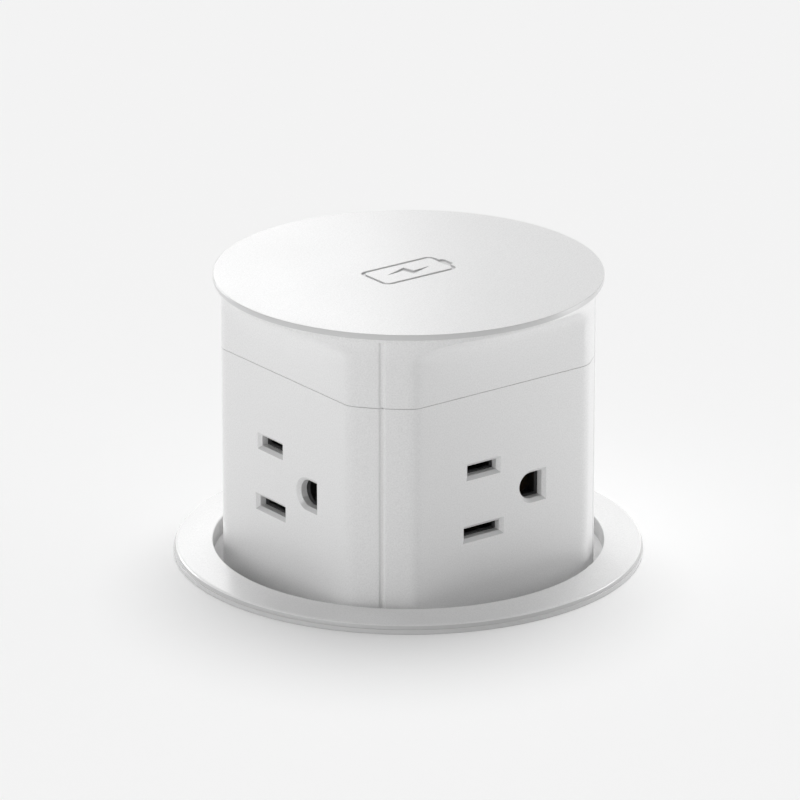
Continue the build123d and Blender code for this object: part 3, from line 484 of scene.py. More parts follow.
def outlet_cutters(tower, sizes, quarters):
    """Cutters for the bevelled blade slots and ground hole of one panel."""
    over = sizes.bevel / 2
    depths = (-over, sizes.bevel, tower.wall + sizes.bevel)
    holes = outlet_holes(sizes, (sizes.bevel + over, 0, 0))
    return [sunk("hole_cutter", hole, depths, tower.flat, quarters) for hole in holes]


def hole_rims(tower, sizes, quarters):
    """Rings in the holes of the black face behind a panel, chamfered inwards."""
    front = tower.flat - high_corner("socket_face_right")[0] + 0.02 * MM
    depth, out, shoulder, inside = 0.5 * MM, 0.03 * MM, -0.12 * MM, -0.3 * MM
    depths = (front, front, front + depth, front + depth)
    holes = outlet_holes(sizes, (out, shoulder, inside, out))
    return [sunk("hole_rim", hole, depths, tower.flat, quarters, ring=True) for hole in holes]


def port_cutters(tower, sizes):
    """Cutters for the openings round the port shells, with a small bevel outside."""
    a_low, a_high = low_corner("usb_a_shells"), high_corner("usb_a_shells")
    c_low, c_high = low_corner("usb_c_shell"), high_corner("usb_c_shell")
    a_opening, c_opening = 5.7 * MM, c_high[2] - c_low[2]
    a_corner, c_corner = 0.12 * a_opening, c_opening / 2
    bevel, bevel_depth, over = 0.6 * MM, 0.3 * MM, 0.1 * MM
    ports = [
        (a_low[2] + a_opening / 2, a_high[0] - a_low[0], a_opening, a_corner),
        (a_high[2] - a_opening / 2, a_high[0] - a_low[0], a_opening, a_corner),
        ((c_low[2] + c_high[2]) / 2, c_high[0] - c_low[0], c_opening, c_corner),
    ]
    cutters = []
    for middle, width, opening, corner in ports:
        outlines = [
            round_box_outline(0, middle, width + 2 * grow, opening + 2 * grow, corner + grow - 0.01 * MM)
            for grow in (bevel, sizes.port_gap, sizes.port_gap)
        ]
        depths = (-over, bevel_depth, tower.wall + sizes.bevel)
        cutters.append(sunk("port_cutter", outlines, depths, tower.flat, USB_SIDE))
    return cutters


def ribbon(name, path, width, low, high):
    """A strip of a width along a closed path in the XY plane, from one height to another.

    The sides are the path moved by half the width along its normal, averaged at each point.
    """
    before, after = np.roll(path, 1, axis=0), np.roll(path, -1, axis=0)
    first = (path - before) / np.linalg.norm(path - before, axis=1)[:, None]
    second = (after - path) / np.linalg.norm(after - path, axis=1)[:, None]
    normals = [np.stack([-d[:, 1], d[:, 0]], -1) for d in (first, second)]
    middle = normals[0] + normals[1]
    middle /= np.linalg.norm(middle, axis=1)[:, None]
    reach = width / 2 / np.sum(middle * normals[0], axis=1)[:, None]
    left, right = path + middle * reach, path - middle * reach
    flat = [(left, high), (left, low), (right, low), (right, high)]
    points = np.stack([np.insert(side, 2, z, axis=1) for side, z in flat], axis=1)
    return weld(lofted(name, points, ring=True), outwards=True)


def sign_cutters(sizes):
    """Cutters for a plain battery outline, its nub and a bolt."""
    low, high = sizes.top - sizes.sign_depth, sizes.top + sizes.sign_depth
    line = sizes.sign_line
    width, height = sizes.sign_length - line, sizes.sign_width - line
    frame_path = round_box_outline(0, 0, width, height, sizes.sign_corner - line / 2)
    nub_corner = 0.8 * MM
    nub = round_box_outline(sizes.sign_length / 2, 0, 2 * sizes.nub_length, sizes.nub_width, nub_corner, 6)
    half_bolt = np.array([(-5.2, 0.1), (0.3, 2.1), (0.9, -0.5)]) * MM
    return [
        ribbon("sign_frame", frame_path, line, low, high),
        upright_cutter(nub, low, high),
        upright_cutter(np.concatenate([half_bolt, -half_bolt])[::-1], low, high),
    ]


def fill(tree, node, values):
    """Gives a node's inputs their values, or links sockets to them."""
    for name, value in values.items():
        if isinstance(value, bpy.types.NodeSocket):
            tree.links.new(value, node.inputs[name])
        else:
            node.inputs[name].default_value = value


def add_node(tree, kind, values=(), **settings):
    """A new node with its settings, and its inputs filled. Returns its outputs."""
    node = tree.nodes.new(kind)
    for name, value in settings.items():
        setattr(node, name, value)
    fill(tree, node, dict(values))
    return node.outputs


def shader(name, base, roughness, metallic=0.0):
    """A new material with its principled shader set. Returns it, its node tree and the shader."""
    material = bpy.data.materials.new(name)
    material.use_nodes = True
    tree = material.node_tree
    surface = tree.nodes["Principled BSDF"]
    fill(tree, surface, {"Base Color": (*base, 1), "Roughness": roughness, "Metallic": metallic})
    return material, tree, surface


def object_place(tree):
    """The place on the surface in the object's own frame."""
    return add_node(tree, "ShaderNodeTexCoord")["Object"]


def noise(tree, scale, detail, stretch=(1, 1, 1)):
    """A noise texture in object space, stretched along the axes."""
    place = add_node(tree, "ShaderNodeMapping", {"Vector": object_place(tree), "Scale": stretch})["Vector"]
    return add_node(tree, "ShaderNodeTexNoise", {"Vector": place, "Scale": scale, "Detail": detail})["Fac"]


def ranged(tree, source, low, high):
    """The 0 to 1 output of a texture, spread between two values."""
    return add_node(tree, "ShaderNodeMapRange", {"Value": source, "To Min": low, "To Max": high})["Result"]


def blended(tree, share, first, second):
    """A colour between two."""
    values = {"Factor": share, "A": first, "B": second}
    return add_node(tree, "ShaderNodeMix", values, data_type="RGBA")["Result"]


def scaled(base, share):
    """A colour made darker or lighter, opaque."""
    return (*[min(1, part * share) for part in base], 1)


def tinted(tree, source, base, change):
    """A colour that a texture makes a little darker and lighter."""
    return blended(tree, source, scaled(base, 1 - change), scaled(base, 1 + change))


def toned(tree, shade, value, low, high, darker):
    """A colour that turns to a darker one as a value passes from low to high."""
    past = add_node(tree, "ShaderNodeMapRange", {"Value": value, "From Min": low, "From Max": high})["Result"]
    return blended(tree, past, shade, darker)


def bumped(tree, source, distance):
    """The normal of a bump of a real height."""
    return add_node(tree, "ShaderNodeBump", {"Height": source, "Distance": distance})["Normal"]


def distance_out(tree):
    """Distance from the object's axis."""
    values = {0: object_place(tree), 1: (1, 1, 0)}
    level = add_node(tree, "ShaderNodeVectorMath", values, operation="MULTIPLY")["Vector"]
    return add_node(tree, "ShaderNodeVectorMath", {0: level}, operation="LENGTH")["Value"]


def upright_part(tree, vector):
    """The Z part of a place or a normal."""
    return add_node(tree, "ShaderNodeSeparateXYZ", {"Vector": vector})["Z"]


def moulded_plastic(
    name, base, roughness, grain=3600, depth=0.01 * MM, change=0.13, rim=(), ledge_shade=None, top=None
):
    """Moulded plastic with a fine grain of tone and height, and broad faint changes of gloss.

    It may carry painted shade beyond each radius of its rim, on ledges, which face up, and in grooves below
    its top.
    """
    fade, groove_shade_share, steep, level = 0.05 * MM, 0.8, 0.5, 0.6
    material, tree, surface = shader(name, base, roughness)
    fine = noise(tree, grain, 3.0)
    gloss = ranged(tree, noise(tree, 40, 2.0), roughness - 0.06, roughness + 0.06)
    shade = tinted(tree, fine, base, change)
    if top:
        height = upright_part(tree, object_place(tree))
        # Painted shade: the grooves' floors below the top are darker.
        shade = toned(tree, shade, height, top - fade, top - 4 * fade, scaled(base, groove_shade_share))
    # Painted shade: darker beyond each radius of the rim.
    for radius, share in rim:
        shade = toned(tree, shade, distance_out(tree), radius - fade, radius, scaled(base, share))
    # Painted shade: faces that face up are darker.
    if ledge_shade:
        facing_up = upright_part(tree, add_node(tree, "ShaderNodeNewGeometry")["True Normal"])
        shade = toned(tree, shade, facing_up, steep, level, scaled(base, ledge_shade))
    fill(tree, surface, {"Base Color": shade, "Roughness": gloss, "Normal": bumped(tree, fine, depth)})
    return material


def plated_metal(name, base, roughness, stretch=(1, 1, 8)):
    """Plated or drawn metal with fine streaks."""
    material, tree, surface = shader(name, base, roughness, metallic=1.0)
    streaks = noise(tree, 900, 4.0, stretch)
    gloss = ranged(tree, streaks, roughness - 0.08, roughness + 0.1)
    shade = tinted(tree, streaks, base, 0.06)
    fill(tree, surface, {"Base Color": shade, "Roughness": gloss, "Normal": bumped(tree, streaks, 0.01 * MM)})
    return material


def foam_rubber(name, base):
    """Closed cell foam: small round pits."""
    material, tree, surface = shader(name, base, 0.9)
    cells = add_node(tree, "ShaderNodeTexVoronoi", {"Vector": object_place(tree), "Scale": 1800})["Distance"]
    shade = tinted(tree, cells, base, 0.35)
    fill(tree, surface, {"Base Color": shade, "Normal": bumped(tree, cells, 0.08 * MM)})
    return material


def solder_mask(name, base):
    """A circuit board's glossy green coat over faint tracks."""
    material, tree, surface = shader(name, base, 0.3)
    colours = {"Color1": scaled(base, 1), "Color2": scaled(base, 0.82), "Mortar": scaled(base, 1.5)}
    tracks = add_node(tree, "ShaderNodeTexBrick", {"Vector": object_place(tree), "Scale": 260, **colours})
    fill(tree, surface, {"Base Color": tracks["Color"], "Normal": bumped(tree, tracks["Fac"], 0.03 * MM)})
    return material


def wound_wire(name, base):
    """Enamelled wire wound flat: fine rings about the axis."""
    material, tree, surface = shader(name, base, 0.32, metallic=1.0)
    values = {"Vector": object_place(tree), "Scale": 400}
    turns = add_node(tree, "ShaderNodeTexWave", values, wave_type="RINGS", rings_direction="Z")["Fac"]
    shade = tinted(tree, turns, base, 0.3)
    fill(tree, surface, {"Base Color": shade, "Normal": bumped(tree, turns, 0.2 * MM)})
    return material


def finish(name):
    """A finish by its name, made the first time it is asked for."""
    if name in bpy.data.materials:
        return bpy.data.materials[name]
    colours = bpy.context.scene.socket_finishes
    lid_radius, _, lid_top = high_corner("lid_top")
    flange_radius = high_corner("flange_ring")[0]
    # Each radius beyond which the white is darker as painted shade, with the share of the white that is left
    lid_rim_shade = [(lid_radius - 0.09 * MM, 0.79)]
    flange_side_shade = [(flange_radius - 0.36 * MM, 0.72), (flange_radius - 0.1 * MM, 0.8)]
    makers = {
        "satin_white": lambda: moulded_plastic(name, colours.white, 0.3),
        # Faces of the panels that face up, such as the holes' lower bevels, are darker as painted shade.
        "panel_white": lambda: moulded_plastic(name, colours.white, 0.3, ledge_shade=0.74),
        # The lid's rim and the floors of its sign's grooves are darker as painted shade.
        "lid_white": lambda: moulded_plastic(name, colours.white, 0.3, change=0.2, rim=lid_rim_shade, top=lid_top),
        # The flange's side is darker as painted shade, in two steps.
        "flange_white": lambda: moulded_plastic(name, colours.white, 0.24, rim=flange_side_shade),
        # A lighter black as a painted sheen on the holes' chamfered rims.
        "black_rim_painted_sheen": lambda: moulded_plastic(name, colours.black_rim_painted_sheen, 0.25),
        "frame_white": lambda: moulded_plastic(name, colours.frame_white, 0.5),
        "casing_white": lambda: moulded_plastic(name, colours.casing_white, 0.5, grain=1800, depth=0.02 * MM),
        "black_plastic": lambda: moulded_plastic(name, colours.black, 0.5, change=0.1),
        "black_nylon": lambda: moulded_plastic(name, colours.black, 0.38, grain=1500, change=0.1),
        "gasket_foam": lambda: foam_rubber(name, colours.foam),
        "zinc_plate": lambda: plated_metal(name, colours.steel, 0.32),
        "pressed_steel": lambda: plated_metal(name, colours.steel, 0.4, (8, 1, 1)),
        "spring_steel": lambda: plated_metal(name, colours.steel, 0.28, (1, 1, 3)),
        "pressed_brass": lambda: plated_metal(name, colours.brass, 0.34),
        "coil_wire": lambda: wound_wire(name, colours.copper),
        "circuit_board": lambda: solder_mask(name, colours.board),
        "ferrite": lambda: moulded_plastic(name, (0.03, 0.03, 0.032), 0.6, grain=900, change=0.15),
        "natural_acetal": lambda: moulded_plastic(name, colours.natural, 0.4, change=0.02),
    }
    return makers[name]()


class MakeStage(bpy.types.Operator):
    """Make the desk with its hole, the light and the camera"""

    bl_idname = "desk_socket.stage"
    bl_label = "Stage"

    def execute(self, context):
        settings = context.scene.socket_stage
        desk = self.make_desk(settings, context.scene.socket_desk.desk_hole)
        self.make_world(settings)
        self.make_lamps(settings, desk)
        self.make_camera(settings)
        context.scene.view_settings.view_transform = "Standard"
        return {"FINISHED"}

    def make_desk(self, settings, hole):
        """A flat disc round the desk hole, its rings further apart the larger they are.

        The angles run backwards, which turns its face up.
        """
        angle = np.linspace(FULL_TURN, 0, 128, endpoint=False)
        radius = hole * (settings.desk_radius / hole) ** np.linspace(0, 1, 24)[:, None]
        desk = swept("desk_top", radius, 0.0, angle, closed=False)
        desk.data.materials.append(self.desk_material(settings))
        return desk

    def desk_material(self, settings):
        """The desk's even pale coat, with a colour of its own where it is seen or mirrored."""
        material, tree, surface = shader("pale_desk", settings.desk, 0.9)
        surface.inputs["Specular IOR Level"].default_value = 0.0
        coat = add_node(tree, "ShaderNodeBsdfDiffuse", {"Color": (*settings.desk_seen, 1)})["BSDF"]
        seen_or_lit(tree, "Material Output", surface.outputs["BSDF"], coat)
        return material

    def make_world(self, settings):
        """Even light all round; the camera and mirrored rays see a plain background."""
        world = bpy.data.worlds.new("even_light")
        bpy.context.scene.world = world
        world.use_nodes = True
        tree = world.node_tree
        light = tree.nodes["Background"]
        fill(tree, light, {"Color": (1, 1, 1, 1), "Strength": settings.sky})
        seen = add_node(tree, "ShaderNodeBackground", {"Color": (*settings.background, 1)})["Background"]
        seen_or_lit(tree, "World Output", light.outputs["Background"], seen)

    def make_lamps(self, settings, desk):
        """The suns and the near lamps, placed by the camera's own directions.

        The object has a broad sun from above and behind, a low one from the front left and the near
        lamps. The desk has three suns of its own, and no lamp lights both.
        """
        axes = np.array([*camera_axes(settings), (0, 0, 1)])
        middle = np.array([0, 0, 0.05])
        for name, (place, angle, power, lights) in SUNS.items():
            data = bpy.data.lights.new(name, "SUN")
            data.energy, data.angle = power, math.radians(angle)
            self.link_light(aimed(name, data, place @ axes, -(place @ axes)), desk, lights)
        for name, (place, size, power) in SOFT_LAMPS.items():
            data = bpy.data.lights.new(name, "AREA")
            data.energy, data.size, data.shape = power, size, "DISK"
            self.link_light(aimed(name, data, place @ axes, middle - place @ axes), desk, "object")

    def link_light(self, lamp, desk, lights):
        """Lets a lamp light the desk alone, or the object alone."""
        lit = bpy.data.collections.new(lamp.name + "_lights")
        lit.objects.link(desk)
        lit.collection_objects[0].light_linking.link_state = "INCLUDE" if lights == "desk" else "EXCLUDE"
        lamp.light_linking.receiver_collection = lit

    def make_camera(self, settings):
        """The camera, at the photograph's viewing angle."""
        ahead, right = camera_axes(settings)
        tilt = math.radians(settings.elevation)
        view = ahead * math.cos(tilt) - np.array([0, 0, math.sin(tilt)])
        target = right * settings.target_side + np.array([0, 0, settings.target_height])
        data = bpy.data.cameras.new("camera")
        data.lens, data.sensor_width = settings.lens, 36
        data.clip_start, data.clip_end = 0.01, 50
        bpy.context.scene.camera = aimed("camera", data, target - view * settings.distance, view)


def seen_or_lit(tree, output, lit, seen):
    """Gives an output one shader to light with, and one that is seen, mirrored or seen through glass."""
    path = add_node(tree, "ShaderNodeLightPath")
    rays = path["Is Camera Ray"]
    for kind in ("Is Glossy Ray", "Is Transmission Ray"):
        rays = add_node(tree, "ShaderNodeMath", {0: rays, 1: path[kind]}, operation="MAXIMUM")[0]
    mix = add_node(tree, "ShaderNodeMixShader", {"Fac": rays, 1: lit, 2: seen})
    fill(tree, tree.nodes[output], {"Surface": mix["Shader"]})


def camera_axes(settings):
    """The level directions ahead of the camera and to its right."""
    turn = math.radians(settings.azimuth)
    ahead = np.array([-math.sin(turn), math.cos(turn), 0])
    right = np.array([math.cos(turn), math.sin(turn), 0])
    return ahead, right


def aimed(name, data, place, direction):
    """A lamp or camera at a place, its -Z axis turned along a direction and its top up."""
    x, y, z = direction / np.linalg.norm(direction)
    piece = bpy.data.objects.new(name, data)
    bpy.context.scene.collection.objects.link(piece)
    piece.location = place
    piece.rotation_euler = (math.acos(np.clip(-z, -1, 1)), 0.0, math.atan2(-x, y))
    return piece


class MakeLid(bpy.types.Operator):
    """Make the lid with its sign, and the band and tray under it"""

    bl_idname = "desk_socket.lid"
    bl_label = "Lid"

    def execute(self, context):
        sizes = context.scene.socket_lid
        self.make_cap(sizes)
        self.make_tray(sizes)
        return {"FINISHED"}

    def make_cap(self, sizes):
        """The thin round cap with a ring below, and the battery sign cut in."""
        low, ring_low = sizes.top - sizes.rim, low_corner("lid_top")[2]
        ring = sizes.tray_radius - sizes.tray_wall - 0.1 * MM
        ring_in = ring - 1.2 * MM
        corners = [
            (0, low, 0), (ring_in, low, 0), (ring_in, ring_low, 0), (ring, ring_low, 0), (ring, low, 0),
            (sizes.radius, low, sizes.edge), (sizes.radius, sizes.top, sizes.edge),
            (sizes.radius * 0.6, sizes.top, 0), (0, sizes.top, 0),
        ]
        cap = revolved("lid_cap", corners, segments=320, closed=False)
        carve(cap, sign_cutters(sizes))
        dress(cap, "tower", ["lid_top"], "lid_white")

    def make_tray(self, sizes):
        """The band that shows under the lid and the tray inside the collar."""
        low, high = low_corner("lid_base")[2], sizes.top - sizes.rim
        outer, inner = sizes.tray_radius, sizes.tray_radius - sizes.tray_wall
        floor, shelf, shelf_in = low + sizes.tray_wall, high - 3.3 * MM, inner - 1.6 * MM
        corners = [
            (0, low, 0), (outer, low, 0.5 * MM), (outer, sizes.band_low, 0),
            (sizes.band_radius, sizes.band_low, 0.15 * MM), (sizes.band_radius, high, 0.1 * MM),
            (inner, high, 0), (inner, shelf, 0), (shelf_in, shelf, 0), (shelf_in, floor, 0), (0, floor, 0),
        ]
        tray = revolved("lid_band_and_tray", corners, closed=False)
        dress(tray, "tower", ["lid_base"], "satin_white")


class MakeCollar(bpy.types.Operator):
    """Make the tower's upper collar, which swells from four flats to a disc under the lid"""

    bl_idname = "desk_socket.collar"
    bl_label = "Collar"

    def execute(self, context):
        sizes = context.scene.socket_tower
        points = self.surface(sizes)
        faces = grid_faces(*points.shape[:2], close_rows=True)
        collar = make_object("upper_collar_shell", points.reshape(-1, 3), faces)
        dress(collar, "tower", ["upper_collar"], "satin_white")
        return {"FINISHED"}

    def surface(self, sizes):
        """The collar over a grid of angle and height.

        The flats' distance is flat + (radius - flat) (1 - sqrt(1 - s s)), where s runs from 0 at the
        flare's foot to 1 at its top. The grooves, the lower edge and the inner side follow.
        """
        from_corner, fall = groove_wall(sizes)
        quarter = quarter_points(np.insert(from_corner, 0, 0), np.insert(fall, 0, sizes.groove_depth))
        angle, depth = (np.tile(part[:-1], 4) for part in quarter)
        faces = np.repeat(np.arange(4), len(angle) // 4) * math.pi / 2
        low, high = parting_line() + sizes.seam / 2, high_corner("upper_collar")[2]
        along, inwards = edge_samples(sizes.edge)
        foot = high - sizes.flare_top - sizes.flare_height
        climb = foot + sizes.flare_height * np.sin(np.linspace(0, math.pi / 2, 25))
        heights = np.concatenate([low + along, [(low + foot) / 2], climb, [high]])
        tucks = np.concatenate([inwards, np.zeros(len(climb) + 2)])
        share = np.clip((heights - foot) / sizes.flare_height, 0, 1)
        flat = sizes.flat + (sizes.radius - sizes.flat) * (1 - np.sqrt(1 - share**2))
        radius = outline_radius(angle[None, :], flat[:, None], sizes.radius, sizes.blend)
        groove_end = heights > high - sizes.flare_top
        radius = radius - np.maximum(depth * ~groove_end[:, None], tucks[:, None])
        outer = section_points((angle + faces)[None, :], radius, heights[:, None])
        inside = outline_radius(angle, sizes.flat - sizes.wall, sizes.radius - sizes.wall, sizes.blend / 4)
        inner = section_points((angle + faces)[None, :], inside[None, :], np.array([[high], [low]]))
        return np.concatenate([outer, inner])


class MakePanels(bpy.types.Operator):
    """Make the four face panels with their holes"""

    bl_idname = "desk_socket.panels"
    bl_label = "Face panels"

    def execute(self, context):
        tower, sizes = context.scene.socket_tower, context.scene.socket_outlets
        for side, quarters in OUTLET_SIDES.items():
            cutters = outlet_cutters(tower, sizes, quarters)
            self.make_panel(tower, "outlet_shell_" + side, "outlet_panel_" + side, quarters, cutters)
            rims = join(hole_rims(tower, sizes, quarters), "hole_rims_" + side)
            dress(rims, "tower", [], "black_rim_painted_sheen")
        self.make_panel(tower, "usb_shell", "usb_panel", USB_SIDE, port_cutters(tower, sizes))
        return {"FINISHED"}

    def make_panel(self, tower, name, node, quarters, cutters):
        """One face panel with its holes cut."""
        low, high = low_corner("usb_panel")[2], parting_line() - tower.seam / 2
        panel = panel_shell(name, tower, low, high, quarters)
        carve(panel, cutters)
        dress(panel, "tower", [node], "panel_white")


class MakeFlange(bpy.types.Operator):
    """Make the flange on the desk and the foam under it"""

    bl_idname = "desk_socket.flange"
    bl_label = "Flange"

    def execute(self, context):
        sizes = context.scene.socket_desk
        self.make_ring(sizes)
        self.make_gasket(sizes)
        return {"FINISHED"}

    def make_ring(self, sizes):
        """The flange, stepped and sloped inside for the lid, with its collar and spigot below."""
        low, mouth_top = span("flange_ring")
        seat, step = mouth_top - sizes.seat_depth, sizes.flange_step
        collar = low / 2
        spigot = sizes.barrel_radius - 1.0 * MM
        edge = sizes.flange_radius - sizes.flange_draft
        soft = sizes.flange_round
        gasket_radius, _, groove_top = high_corner("desk_gasket")
        groove_out, groove_in = gasket_radius + 0.15 * MM, sizes.barrel_radius + 1.3 * MM
        corners = [
            (sizes.throat_radius, low, 0.2 * MM), (spigot, low, 0.2 * MM), (spigot, collar, 0),
            (sizes.barrel_radius, collar, 0.3 * MM), (sizes.barrel_radius, 0, 0), (groove_in, 0, 0),
            (groove_in, groove_top, 0), (groove_out, groove_top, 0), (groove_out, 0, 0),
            (sizes.flange_radius, 0, 0.1 * MM), (sizes.flange_radius - 0.06 * MM, step, 0.04 * MM),
            (edge + 0.1 * MM, step + 0.05 * MM, 0.03 * MM), (edge, sizes.flange_edge, 2 * soft),
            (sizes.mouth_radius, mouth_top, soft), (sizes.mouth_radius, seat, 0.3 * MM),
            (sizes.throat_radius, seat - sizes.seat_slope, 0.3 * MM),
        ]
        ring = revolved("desk_flange", corners, segments=360)
        dress(ring, "casing", ["flange_ring"], "flange_white")

    def make_gasket(self, sizes):
        """The foam ring in the flange's groove."""
        low, (outer, _, high) = low_corner("desk_gasket")[2], high_corner("desk_gasket")
        inner, soft = sizes.gasket_inner, 0.15 * MM
        corners = [(inner, low, soft), (outer, low, soft), (outer, high, 0), (inner, high, 0)]
        ring = revolved("foam_gasket", corners)
        dress(ring, "casing", ["desk_gasket"], "gasket_foam")


class MakeCasing(bpy.types.Operator):
    """Make the threaded casing, its bottom cap, the gland and the screws"""

    bl_idname = "desk_socket.casing"
    bl_label = "Casing"

    def execute(self, context):
        sizes = context.scene.socket_desk
        screws = screw_places(sizes.screw_head)
        self.make_barrel(sizes)
        self.make_cap(screws)
        self.make_gland()
        self.make_screws(screws, sizes.screw_head)
        return {"FINISHED"}

    def make_barrel(self, sizes):
        """The barrel over a grid of angle and height: its thread is a ridge about a helix.

        With w the height above the nearest turn of the helix, the radius rises from the root to the
        crest as a smooth step of the flank's width, which starts half the ridge's width from w 0, and
        runs out at both ends.
        """
        low, high = span("casing_tube")
        outer, start, step = sizes.barrel_radius, -sizes.thread_start, 0.25 * MM
        half_ridge, flank_width = 1.05 * MM, 0.6 * MM
        soft, shoulder, edge, bore_top = 0.2 * MM, 0.6 * MM, 0.3 * MM, -8.2 * MM
        angle = np.linspace(0, FULL_TURN, 168, endpoint=False)
        height = np.arange(low + 2 * soft, start, step)[:, None]
        turns = height / sizes.thread_pitch - angle / FULL_TURN
        away = np.abs(turns - np.round(turns)) * sizes.thread_pitch
        flank = np.clip((half_ridge - away) / flank_width, 0, 1)
        run_out = np.clip(np.minimum(height - low, start - height) / sizes.thread_pitch, 0, 1)
        ridge = (3 - 2 * flank) * flank**2 * run_out
        root = outer - sizes.thread_depth
        plain = np.array([
            (root - soft, low), (root, low + soft), (root, start), (outer, start + shoulder),
            (outer, high - edge), (outer - edge, high), (sizes.spigot_radius, high),
            (sizes.spigot_radius, bore_top), (sizes.bore_radius, bore_top), (sizes.bore_radius, low),
        ])
        even = np.repeat(plain[:, :1], len(angle), axis=1)
        radius = np.insert(even, 2, root + sizes.thread_depth * ridge, axis=0)
        barrel = swept("threaded_casing", radius, np.insert(plain[:, 1:], 2, height, axis=0), angle)
        dress(barrel, "casing", ["casing_tube"], "casing_white")

    def make_cap(self, screws):
        """The bottom cap, with a shallow ring and the holes of the screws and the gland."""
        low, (radius, _, high) = low_corner("bottom_cap")[2], high_corner("bottom_cap")
        groove_in, groove_out = radius - 6 * MM, radius - 4 * MM
        groove, slope = 0.3 * MM, 0.4 * MM
        corners = [
            (0, low, 0), (groove_in, low, 0), (groove_in + slope, low + groove, 0),
            (groove_out - slope, low + groove, 0), (groove_out, low, 0),
            (radius, low, 0.7 * MM), (radius, high, 0.2 * MM), (0, high, 0),
        ]
        cap = revolved("casing_cap", corners, closed=False)
        places = [place for group in screws.values() for place in group]
        screw_hole, screw_seat, screw_depth = 1.6 * MM, 2.9 * MM, 1.8 * MM
        gland_hole, gland_seat, gland_depth = 6.55 * MM, 9.1 * MM, 1.5 * MM
        carve(cap, [
            *[round_cutter(place, screw_seat, low - MM, low + screw_depth) for place in places],
            *[round_cutter(place, screw_hole, low - MM, high + MM) for place in places],
            round_cutter(gland_place(), gland_seat, low - MM, low + gland_depth),
            round_cutter(gland_place(), gland_hole, low - MM, high + MM),
        ])
        dress(cap, "casing", ["bottom_cap"], "casing_white")

    def make_gland(self):
        """The round bush that the cord enters by, its mouth flared."""
        low, high = span("cord_gland")
        flange, body, hole, step = 9 * MM, 6.5 * MM, 4 * MM, low + 1.5 * MM
        corners = [
            (hole, low, 0.8 * MM), (flange, low, 0.5 * MM), (flange, step, 0),
            (body, step, 0), (body, high, 0.4 * MM), (hole, high, 0.5 * MM),
        ]
        bush = revolved("cord_bush", corners, segments=96)
        bush.data.transform(Matrix.Translation((*gland_place(), 0)))
        dress(bush, "casing", ["cord_gland"], "black_nylon")

    def make_screws(self, screws, head):
        """Domed screw heads with a cross recess, in the cap's counterbores."""
        low = low_corner("cap_screws")[2]
        for group, places in screws.items():
            shank = high_corner(group)[2]
            made = join([self.screw(place, head, low, shank) for place in places], group + "_dressed")
            dress(made, "casing", [group], "zinc_plate")

    def screw(self, place, head, low, shank):
        """One screw: domed head below, shank above, with two crossed slots in the head."""
        body, dome_height, neck, point = 1.25 * MM, 0.9 * MM, low + 1.6 * MM, shank - 0.6 * MM
        slot, reach, depth = 0.7 * MM, 3.0 * MM, 1.0 * MM
        turns = np.linspace(0, math.pi / 2, 8)
        dome = [(head * math.sin(turn), low + dome_height * (1 - math.cos(turn)), 0) for turn in turns]
        stem = [(head, neck, 0), (body, neck, 0), (body, point, 0), (0, shank, 0)]
        screw = revolved("screw", dome + stem, segments=48, closed=False)
        slots = [box_outline(0, 0, slot, reach), box_outline(0, 0, reach, slot)]
        carve(screw, [upright_cutter(outline, low - MM, low + depth) for outline in slots])
        screw.data.transform(Matrix.Translation((*place, 0)))
        return screw


def screw_places(head):
    """Places of the four cap screws and the two latch screws, whose heads reach the edges of their nodes."""
    reach = high_corner("cap_screws")[0] - head
    across, along = (edge - head for edge in high_corner("latch_screws")[:2])
    return {
        "cap_screws": [(x, y) for x in (-reach, reach) for y in (-reach, reach)],
        "latch_screws": [(-across, -along), (across, along)],
    }


def gland_place():
    """Middle of the cord gland."""
    low, high = low_corner("cord_gland"), high_corner("cord_gland")
    return (low[0] + high[0]) / 2, (low[1] + high[1]) / 2


def upright_cutter(outline, low, high):
    """An outline in the XY plane carried from one height to another, as a cutter."""
    return lofted("cutter", [np.insert(outline, 2, z, axis=1) for z in (low, high)])


def round_cutter(place, radius, low, high):
    """A round cutter between two heights."""
    circle = on_circle(np.linspace(0, FULL_TURN, 64, endpoint=False))
    return upright_cutter(np.array(place) + radius * circle, low, high)


def join(pieces, name):
    """Joins pieces into the first of them, under a new name."""
    work = bmesh.new()
    for piece in pieces:
        work.from_mesh(piece.data)
    work.to_mesh(pieces[0].data)
    work.free()
    pieces[0].name = name
    for piece in pieces[1:]:
        bpy.data.objects.remove(piece)
    return pieces[0]


